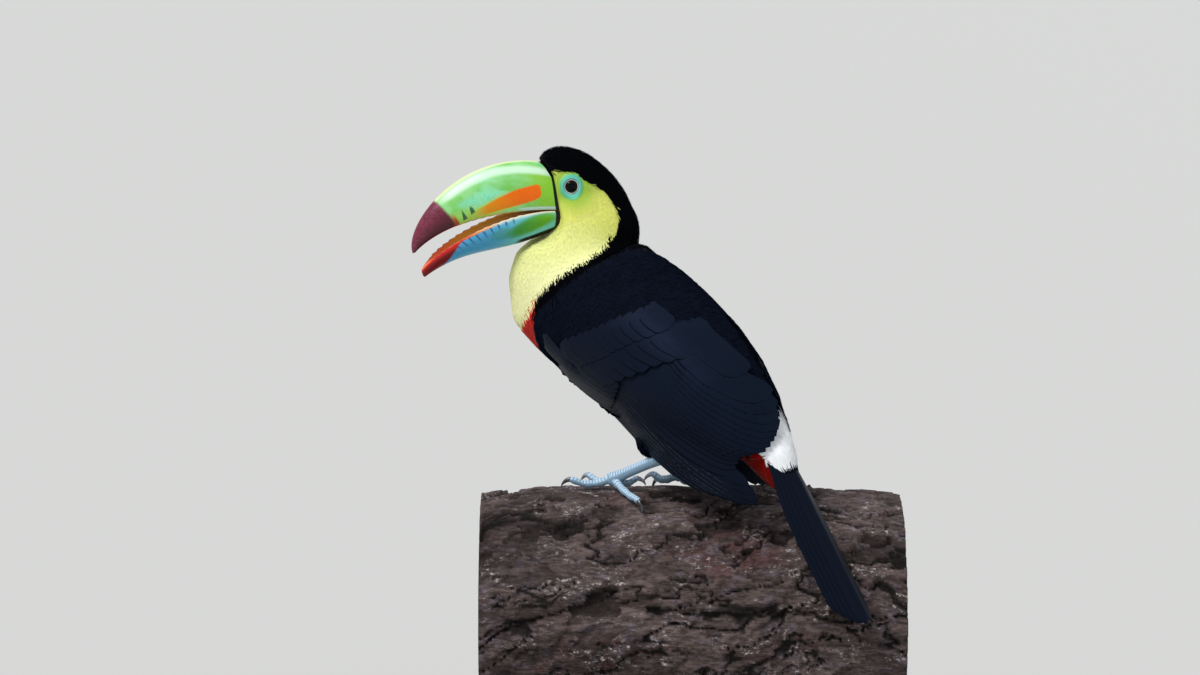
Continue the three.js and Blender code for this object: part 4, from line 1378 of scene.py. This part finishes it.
def tube(name, pathAt, radiusAt, columns, rows, flat=1.0, ends=(0.0, 1.0)):
    # A round bar along a path in millimetres, closed by round ends.
    def bend(u, v):
        t = ends[0] + (ends[1] - ends[0]) * (0.5 - 0.5 * np.cos(pi * v))
        middle = pathAt(t)
        ahead = unit(pathAt(t + 0.01) - pathAt(t - 0.01))
        side = unit(np.cross(ahead, [0, 0, 1]))
        up = np.cross(side, ahead)
        turn = 2 * pi * u
        blunt = np.sqrt(np.clip(np.minimum(v, 1 - v) / 0.16, 0, 1))
        size = (radiusAt(t, turn) * np.sin(blunt * pi / 2))[:, None]
        ring = np.cos(turn)[:, None] * side + np.sin(turn)[:, None] * up * flat
        return crest + mm * (middle + size * ring)

    return bentGrid(name, columns, rows, bend)


def padded(long, phase):
    # A toe is fuller under each of its joints, and between them it narrows.
    def radius(t, turn):
        below = np.clip(-np.sin(turn), 0, 1)
        joints = np.cos(2 * pi * (t * long / foot["pad"] + phase))
        full = 1 + 0.05 * joints + foot["padFull"] * joints * below
        return (foot["thick"] + (foot["tip"] - foot["thick"]) * t) * full

    return radius


def makeFoot(name, leg):
    shape = bmesh.new()
    for number, toe in enumerate(leg["toes"]):
        mesh = tube("toe", lambda t: toePath(leg, toe, t), padded(toe[0], 0.1 * number), 28, 60)
        shape.from_mesh(mesh)
    # The shank is deeper than it is wide, and swells at both its ends.
    def shankSize(t, turn):
        ends = np.abs(2 * np.clip(t, 0, 1) - 1) ** 2.5
        return foot["shank"] * (0.9 + 0.34 * ends + 0.12 * np.sin(turn) ** 2)

    shape.from_mesh(tube("shank", lambda t: shankPath(leg, t), shankSize, 32, 60, ends=(-0.08, 1.1)))
    fine = remeshed("foot", shape, foot["voxel"])
    for _ in range(foot["smoothing"]):
        bmesh.ops.smooth_vert(fine, verts=fine.verts, factor=0.5, use_axis_x=True, use_axis_y=True,
                              use_axis_z=True)
    bmesh.ops.triangulate(fine, faces=fine.faces)
    normals = freshNormals(fine)
    mesh = meshOf(f"foot_{name}", fine)
    places = perVertex(mesh)
    local = (places - crest) / mm
    # How far along the nearest toe or the shank each place lies.
    t = np.linspace(0, 1, 80)
    paths = [(toePath(leg, toe, t), t * toe[0]) for toe in leg["toes"]]
    paths.append((shankPath(leg, t), t * foot["shankLong"] + 60))
    best = np.full(len(places), 1e9)
    down = np.zeros(len(places))
    for path, run in paths:
        far = np.linalg.norm(local[:, None] - path[None], axis=-1)
        down = np.where(far.min(1) < best, run[far.argmin(1)], down)
        best = np.minimum(best, far.min(1))
    # Broad scutes across the top of each toe and the front of the shank.
    top = smooth(normals[:, 2], -0.15, 0.45)
    saw = (down / foot["scute"]) % 1
    scute = np.minimum(saw / 0.8, (1 - saw) / 0.2) * top
    grow = foot["scuteHigh"] * scute - 0.06
    mesh.vertices.foreach_set("co", (places + normals * (grow * mm)[:, None]).ravel())
    mark(mesh, "scute", scute)
    mark(mesh, "top", top)
    nodes = [f"tarsus_{name}"] + [f"toe_{name}_{number}" for number in (1, 2, 3, 4)]
    print("foot", name, len(mesh.polygons), "triangles")
    return finishPiece(f"foot_{name}", mesh, footFinish, nodes)


def makeClaw(name, leg, number, finish):
    long, direction = leg["toes"][number - 1]

    def path(t):
        turn = np.radians(claw["hook"]) * t
        reach = long - claw["inside"] + (claw["arc"] + claw["inside"] * 0.6) * np.sin(turn)
        x = leg["joint"][0] + reach * cos(radians(direction))
        y = leg["joint"][1] + reach * sin(radians(direction))
        return onBranch(x, y, toeHeight(1.0) + 0.3 - claw["arc"] * (1 - np.cos(turn)))

    def radius(t, turn):
        return claw["thick"] * (1 - 0.86 * np.clip(t, 0, 1) ** 1.3) * (1 - 0.14 * np.abs(np.cos(turn)))

    mesh = tube("claw", path, radius, 24, 34, flat=1.12)
    mesh.name = f"horn_claw_{name}_{number}"
    return finishPiece(mesh.name, mesh, finish, [f"claw_{name}_{number}"])


def makeFootFinish():
    finish = Finish("scaledSkin", Roughness=0.5, Specular_IOR_Level=0.4)
    scute, top = finish.attribute("scute"), finish.attribute("top")
    cloud = finish.grain(160, 3)
    tint = finish.mix(cloud.rise(0.35, 0.65), colour(130, 182, 214), colour(170, 190, 212))
    tint = finish.mix(scute.rise(0.35, 0.95) * 0.6, tint, colour(222, 232, 242))
    tint = finish.mix((1 - scute.rise(0.0, 0.34)) * top * 0.75, tint, colour(62, 92, 120))
    tint = finish.mix((1 - top) * 0.45, tint, colour(126, 150, 172))
    net = finish.add("ShaderNodeTexVoronoi", {"feature": "DISTANCE_TO_EDGE"},
                     {"Vector": finish.spread(), "Scale": 900.0})
    tint = finish.mix((1 - net.rise(0.0, 0.12)) * (1 - top) * 0.5, tint, colour(80, 104, 128))
    finish.feed("Base Color", tint)
    finish.feed("Roughness", cloud * 0.2 + 0.4)
    finish.bump(net.least(0.2) * (1 - top) * 3 + finish.grain(1500, 3) * 0.5, 0.0002)
    return finish


def makeClawFinish(name, horn, tip):
    finish = Finish(name, Roughness=0.3, Coat_Weight=0.25, Coat_Roughness=0.2)
    streak = finish.grain(500, 3, at=finish.place(scale=(1, 1, 0.35)))
    finish.feed("Base Color", finish.mix(streak.rise(0.35, 0.65), horn, tip))
    finish.bump(streak, 0.00012)
    return finish


footFinish = makeFootFinish()
clawFinish = makeClawFinish("darkHorn", colour(38, 38, 44), colour(66, 66, 76))
paleClawFinish = makeClawFinish("paleHorn", colour(150, 152, 166), colour(104, 106, 122))
for name, leg in legs.items():
    makeFoot(name, leg)
    for number in (1, 2, 3, 4):
        makeClaw(name, leg, number, paleClawFinish if number in leg["pale"] else clawFinish)
print("feet")


bark = {
    "around": 330, "along": 266, "deep": 10.5, "crack": 3.4, "faceRows": 10, "spare": 9, "slant": 0.3,
    # How far three noises, from the broadest to the finest, carry the scales along and around.
    "carried": [(16, 20), (7, 3.2), (2.5, 1.3)],
    # Each layer of scales: length, width and relief, in millimetres, and its share of the colour.
    "layers": [(70, 32, 5.0, 0.5), (29, 12, 3.3, 0.3), (11, 5.2, 1.7, 0.2)],
}


def field(places, scale, octaves=4, seed=0.0):
    # Cloudy noise at many places, about -1 to 1.
    spots = (places * np.array(scale) + seed).tolist()
    return np.array([noise.fractal(spot, 0.9, 2.1, octaves) for spot in spots])


def scales(x, turn, long, wide, lots):
    # Torn scales that overlap: how high the topmost one is at each place, and its own number.
    around = int(2 * pi * branch["halfWide"] / wide)
    p, q = x / long, turn / (2 * pi) * around
    left, low = np.floor(p).astype(int), np.floor(q).astype(int)
    top, number = np.full(len(x), -9.0), np.zeros(len(x))
    for i in (-1, 0, 1):
        for j in (-1, 0, 1):
            key = ((left + i) * 7919 + (low + j) % around * 104729) % len(lots)
            lot = lots[key]
            right, up = p - left - i - lot[:, 0], q - low - j - lot[:, 1]
            far = np.sqrt((right / 1.02) ** 2 + (up / 0.98) ** 2)
            tilt = (lot[:, 3] - 0.5) * right * 1.2 + (lot[:, 4] - 0.3) * up * 1.3
            high = lot[:, 2] + tilt - 3 * smooth(far, 0.9, 1.03)
            over = high > top
            top = np.where(over, high, top)
            number = np.where(over, lot[:, 5], number)
    return np.clip(top, 0, 1), number


def makeBranch():
    rows = bark["along"]
    edge = bark["faceRows"] / rows
    lots = dice.random((4093, 6))
    t = np.linspace(0, 1.2, 24)
    footPaths = np.concatenate([toePath(leg, toe, t) for leg in legs.values() for toe in leg["toes"]])

    def body(u, v):
        # v runs over the sawn face, along the branch and over the other face.
        t = np.clip((v - edge) / (1 - 2 * edge), 0, 1)
        inward = np.minimum(np.minimum(v, 1 - v) / edge, 1)
        x = branch["start"] + (branch["end"] - branch["start"]) * t
        turn = 2 * pi * u
        low = np.maximum(0, 0.2 - np.sin(turn))
        swell = 1 + low * (0.011 * np.sin(x / 37 + 3 * turn) + 0.009 * np.sin(x / 23 - 2 * turn))
        y = np.cos(turn) * branch["halfWide"] * swell
        z = np.sin(turn) * branch["halfTall"] * swell
        return np.stack([x, y, z], -1), turn, inward, np.stack([0 * x, np.cos(turn), np.sin(turn)], -1)

    relief = {}

    def bend(u, v):
        places, turn, inward, out = body(u, v)
        sway = field(places, (0.013, 0.016, 0.016), 3, 4.0)
        torn = field(places, (0.07, 0.16, 0.16), 4, 15.0)
        ragged = field(places, (0.16, 0.3, 0.3), 3, 28.0)
        x, aslant = places[:, 0], bark["slant"] * places[:, 0]
        for noises, (along, around) in zip((sway, torn, ragged), bark["carried"]):
            x = x + along * noises
            aslant = aslant + around * noises
        bent = turn + aslant / branch["halfWide"]
        depth = 0.2 + 0 * x
        own = 0 * x
        for long, wide, high, share in bark["layers"]:
            top, number = scales(x, bent, long, wide, lots)
            depth += (1 - top) * high
            own += number * share
        drawn = np.stack([x * 0.011, np.cos(bent) * 3.2, np.sin(bent) * 3.2], -1)
        crack = smooth(1 - np.abs(field(drawn, (1, 1, 1), 3, 57.0)) * 3.4, 0.7, 1.0)
        fibre = field(places, (0.07, 0.55, 0.55), 2, 80.0)
        depth += crack * bark["crack"] + 0.3 * fibre + 0.5 * torn
        seen = places + np.array([0, 0, -branch["halfTall"] + 1])
        far = np.full(len(places), 99.0)
        above = seen[:, 2] > -30
        far[above] = np.linalg.norm(seen[above][:, None] - footPaths[None], axis=-1).min(1)
        depth = np.clip(depth, 0, bark["deep"])
        calm = smooth(far, 4, bark["spare"] + 4)
        depth = np.minimum(depth, 0.55 + depth * 0.1) * (1 - calm) + depth * calm
        relief.update(depth=depth, crack=crack * calm, own=own, reach=inward)
        relief["face"] = 1 - smooth(inward, 0.9, 1.0)
        worn = places - out * depth[:, None] * smooth(inward, 0.2, 1)[:, None]
        worn[:, 1:] *= inward[:, None]
        # Saw marks on the two faces.
        rough = 0.25 * field(worn, (0.2, 0.2, 0.02), 2, 3.0) * (inward < 1)
        start = worn[:, 0] < 0
        worn[:, 0] += np.where(start, 1, -1) * (0.7 + rough) * (inward < 1)
        worn[:, 2] += crestAt(places[:, 0]) - branch["halfTall"]
        return crest + mm * worn

    mesh = bentGrid("bark", bark["around"], rows, bend, extra=lambda u, v: relief)
    print("branch", len(mesh.polygons), "faces")
    return finishPiece("bark", mesh, makeBarkFinish(), ["perch"])


def makeBarkFinish():
    finish = Finish("bark", Roughness=0.85, Specular_IOR_Level=0.2)
    depth, crack, own = (finish.attribute(key) for key in ("depth", "crack", "own"))
    face, reach = finish.attribute("face"), finish.attribute("reach")
    grain = finish.grain(60, 6, at=finish.place(scale=(0.3, 1, 1)), rough=0.65)
    patch = finish.grain(17, 3, at=finish.place(scale=(0.6, 1, 1)))
    fine = finish.grain(420, 5, at=finish.place(scale=(0.3, 1, 1)), rough=0.7)
    tint = finish.mix(own.rise(0.2, 0.8), colour(58, 47, 44), colour(110, 95, 92))
    tint = finish.mix(grain.rise(0.42, 0.66) * 0.6, tint, colour(112, 97, 96))
    tint = finish.mix(patch.rise(0.54, 0.66) * own.rise(0.3, 0.5) * 0.75, tint, colour(84, 50, 50))
    tint = finish.mix(finish.grain(24, 4).rise(0.52, 0.64) * 0.6, tint, colour(112, 100, 110))
    silver = finish.grain(75, 6, rough=0.75).rise(0.53, 0.62) * finish.grain(13, 2).rise(0.48, 0.6)
    tint = finish.mix(silver * (1 - depth.rise(3, 6)) * 0.85, tint, colour(206, 198, 200))
    tint = finish.mix(fine.rise(0.6, 0.4) * 0.65, tint, colour(36, 28, 26))
    # Painted shade: the bark is darker in its deep places and in its cracks.
    tint = finish.mix(depth.rise(1.8, 7.0) * 0.88, tint, colour(26, 19, 17))
    tint = finish.mix(crack * 0.9, tint, colour(13, 10, 9))
    ring = (reach * 150 + finish.grain(20, 2) * 9).wave().rise(-0.2, 0.95)
    wood = finish.mix(ring * 0.6, colour(186, 146, 102), colour(140, 98, 64))
    wood = finish.mix(finish.grain(60, 4).rise(0.45, 0.75) * 0.5, wood, colour(120, 84, 58))
    wood = finish.mix(1 - reach.rise(0.02, 0.3), wood, colour(116, 74, 48))
    wood = finish.mix(reach.rise(0.93, 0.97), wood, colour(66, 46, 36))
    tint = finish.mix(face, tint, wood)
    finish.feed("Base Color", tint)
    finish.feed("Roughness", grain * 0.25 + 0.68)
    fibre = finish.grain(1300, 3, at=finish.place(scale=(0.4, 1, 1)))
    finish.bump(fine * 1.1 + grain * 1.8 + fibre * 0.3, 0.0018, 0.95)
    return finish


makeBranch()

stand = {"corner": 14, "edge": 1.6, "collar": 3.8, "collarTall": 6}


def makeStandBase():
    low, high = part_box("stand_base")
    shape = bmesh.new()
    bmesh.ops.create_cube(shape, size=1)
    size = high - low
    bmesh.ops.scale(shape, vec=size, verts=shape.verts)
    bmesh.ops.translate(shape, vec=(low + high) / 2, verts=shape.verts)
    upright = [e for e in shape.edges if abs((e.verts[0].co - e.verts[1].co).normalized().z) > 0.9]
    bmesh.ops.bevel(shape, geom=upright, offset=stand["corner"] * mm, segments=10, profile=0.5,
                    affect="EDGES", material=-1)
    level = [e for e in shape.edges if abs(e.verts[0].co.z - e.verts[1].co.z) < 1e-6]
    rims = [e for e in level if len(e.link_faces) == 2 and e.calc_face_angle(0) > 1.2]
    bmesh.ops.bevel(shape, geom=rims, offset=stand["edge"] * mm, segments=4, profile=0.5,
                    affect="EDGES", material=-1)
    bmesh.ops.recalc_face_normals(shape, faces=shape.faces)
    mesh = meshOf("display_base", shape)
    finish = Finish("stainedWood", Roughness=0.38, Coat_Weight=0.25, Coat_Roughness=0.25)
    vein = finish.grain(26, 5, at=finish.place(scale=(0.16, 1, 1)), rough=0.6)
    pore = finish.grain(330, 3, at=finish.place(scale=(0.06, 1, 1)))
    rings = (vein * 70).wave() * 0.5 + 0.5
    tint = finish.mix(rings, colour(52, 38, 31), colour(78, 57, 44))
    tint = finish.mix(pore.rise(0.56, 0.66) * 0.6, tint, colour(26, 19, 16))
    finish.feed("Base Color", tint)
    finish.feed("Roughness", pore * 0.2 + 0.28)
    finish.bump(pore * 0.7 + rings * 0.2, 0.00012)
    return finishPiece("display_base", mesh, finish, ["stand_base"])


def makeRod(number, finish):
    low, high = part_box(f"stand_rod_{number}")
    middle = (low + high) / 2
    radius = (high.x - low.x) / 2 / mm
    tall = (high.z - low.z) / mm
    # The rod's outline, radius and height, with a collar where it meets the base.
    wide, top = radius + stand["collar"], stand["collarTall"]
    profile = [(0, 0), (wide - 0.4, 0), (wide, 0.4), (wide, top - 1.8), (wide - 0.6, top - 1),
               (radius + 0.6, top - 0.6), (radius, top), (radius, tall - 12), (radius, tall), (0, tall)]
    shape = bmesh.new()
    points = [shape.verts.new((r * mm, 0, h * mm)) for r, h in profile]
    edges = [shape.edges.new(pair) for pair in zip(points, points[1:])]
    bmesh.ops.spin(shape, geom=points + edges, cent=(0, 0, 0), axis=(0, 0, 1), dvec=(0, 0, 0),
                   angle=2 * pi, steps=48, use_merge=True)
    bmesh.ops.remove_doubles(shape, verts=shape.verts, dist=1e-6)
    bmesh.ops.recalc_face_normals(shape, faces=shape.faces)
    bmesh.ops.translate(shape, vec=(middle.x, middle.y, low.z), verts=shape.verts)
    mesh = meshOf(f"display_rod_{number}", shape)
    piece = finishPiece(f"display_rod_{number}", mesh, finish, [f"stand_rod_{number}"])
    mesh.set_sharp_from_angle(angle=radians(40))
    return piece


def makeSteel():
    finish = Finish("brushedSteel", Metallic=1.0, Roughness=0.3)
    brush = finish.grain(700, 3, at=finish.place(scale=(1, 1, 0.04)))
    finish.feed("Base Color", finish.mix(brush, colour(150, 152, 156), colour(186, 188, 190)))
    finish.feed("Roughness", brush * 0.22 + 0.2)
    finish.bump(brush, 0.00003)
    return finish


makeStandBase()
steel = makeSteel()
for number in (1, 2):
    makeRod(number, steel)
print("branch and stand")


view = {"far": 3.0, "down": 6, "lens": 125, "look": (-36, 0, 108.2)}
# Each lamp: the side it stands on and its height in degrees, its strength, its spread and its colour.
studio = {
    "world": 0.62, "sky": (0.93, 0.965, 1.0, 1), "floor": (188, 188, 186),
    "key": (-40, 52, 2.6, 24, (1, 0.985, 0.96)),
    "rim": (150, 40, 0.5, 30, (0.93, 0.96, 1)),
}


def makeCamera():
    lens = bpy.data.cameras.new("camera")
    lens.lens = view["lens"]
    lens.sensor_width = 36
    lens.clip_end = 200
    camera = linked("camera", lens)
    down = radians(view["down"])
    target = Vector(crest + mm * np.array(view["look"]))
    camera.location = target - view["far"] * Vector((0, cos(down), -sin(down)))
    camera.rotation_euler = (pi / 2 - down, 0, 0)
    bpy.context.scene.camera = camera


def makeSun(name, azimuth, height, power, spread, tint):
    lamp = bpy.data.lights.new(name, "SUN")
    lamp.angle = radians(spread)
    lamp.energy = power
    lamp.color = tint
    light = linked(name, lamp)
    turn, rise = radians(azimuth), radians(height)
    toward = Vector((sin(turn) * cos(rise), -cos(turn) * cos(rise), sin(rise)))
    light.rotation_euler = toward.to_track_quat("Z", "Y").to_euler()


def makeStudio():
    world = bpy.data.worlds.new("studio")
    world.use_nodes = True
    back = world.node_tree.nodes["Background"]
    back.inputs["Color"].default_value = studio["sky"]
    back.inputs["Strength"].default_value = studio["world"]
    bpy.context.scene.world = world
    for name in ("key", "rim"):
        makeSun(name, *studio[name])
    shape = bmesh.new()
    bmesh.ops.create_grid(shape, x_segments=1, y_segments=1, size=40)
    mesh = meshOf("floor", shape)
    mesh.materials.append(Finish("paleFloor", Roughness=0.9, Base_Color=colour(*studio["floor"])).material)
    linked("floor", mesh)


makeCamera()
makeStudio()
print("camera and light")
bpy.context.scene.view_settings.view_transform = "Standard"
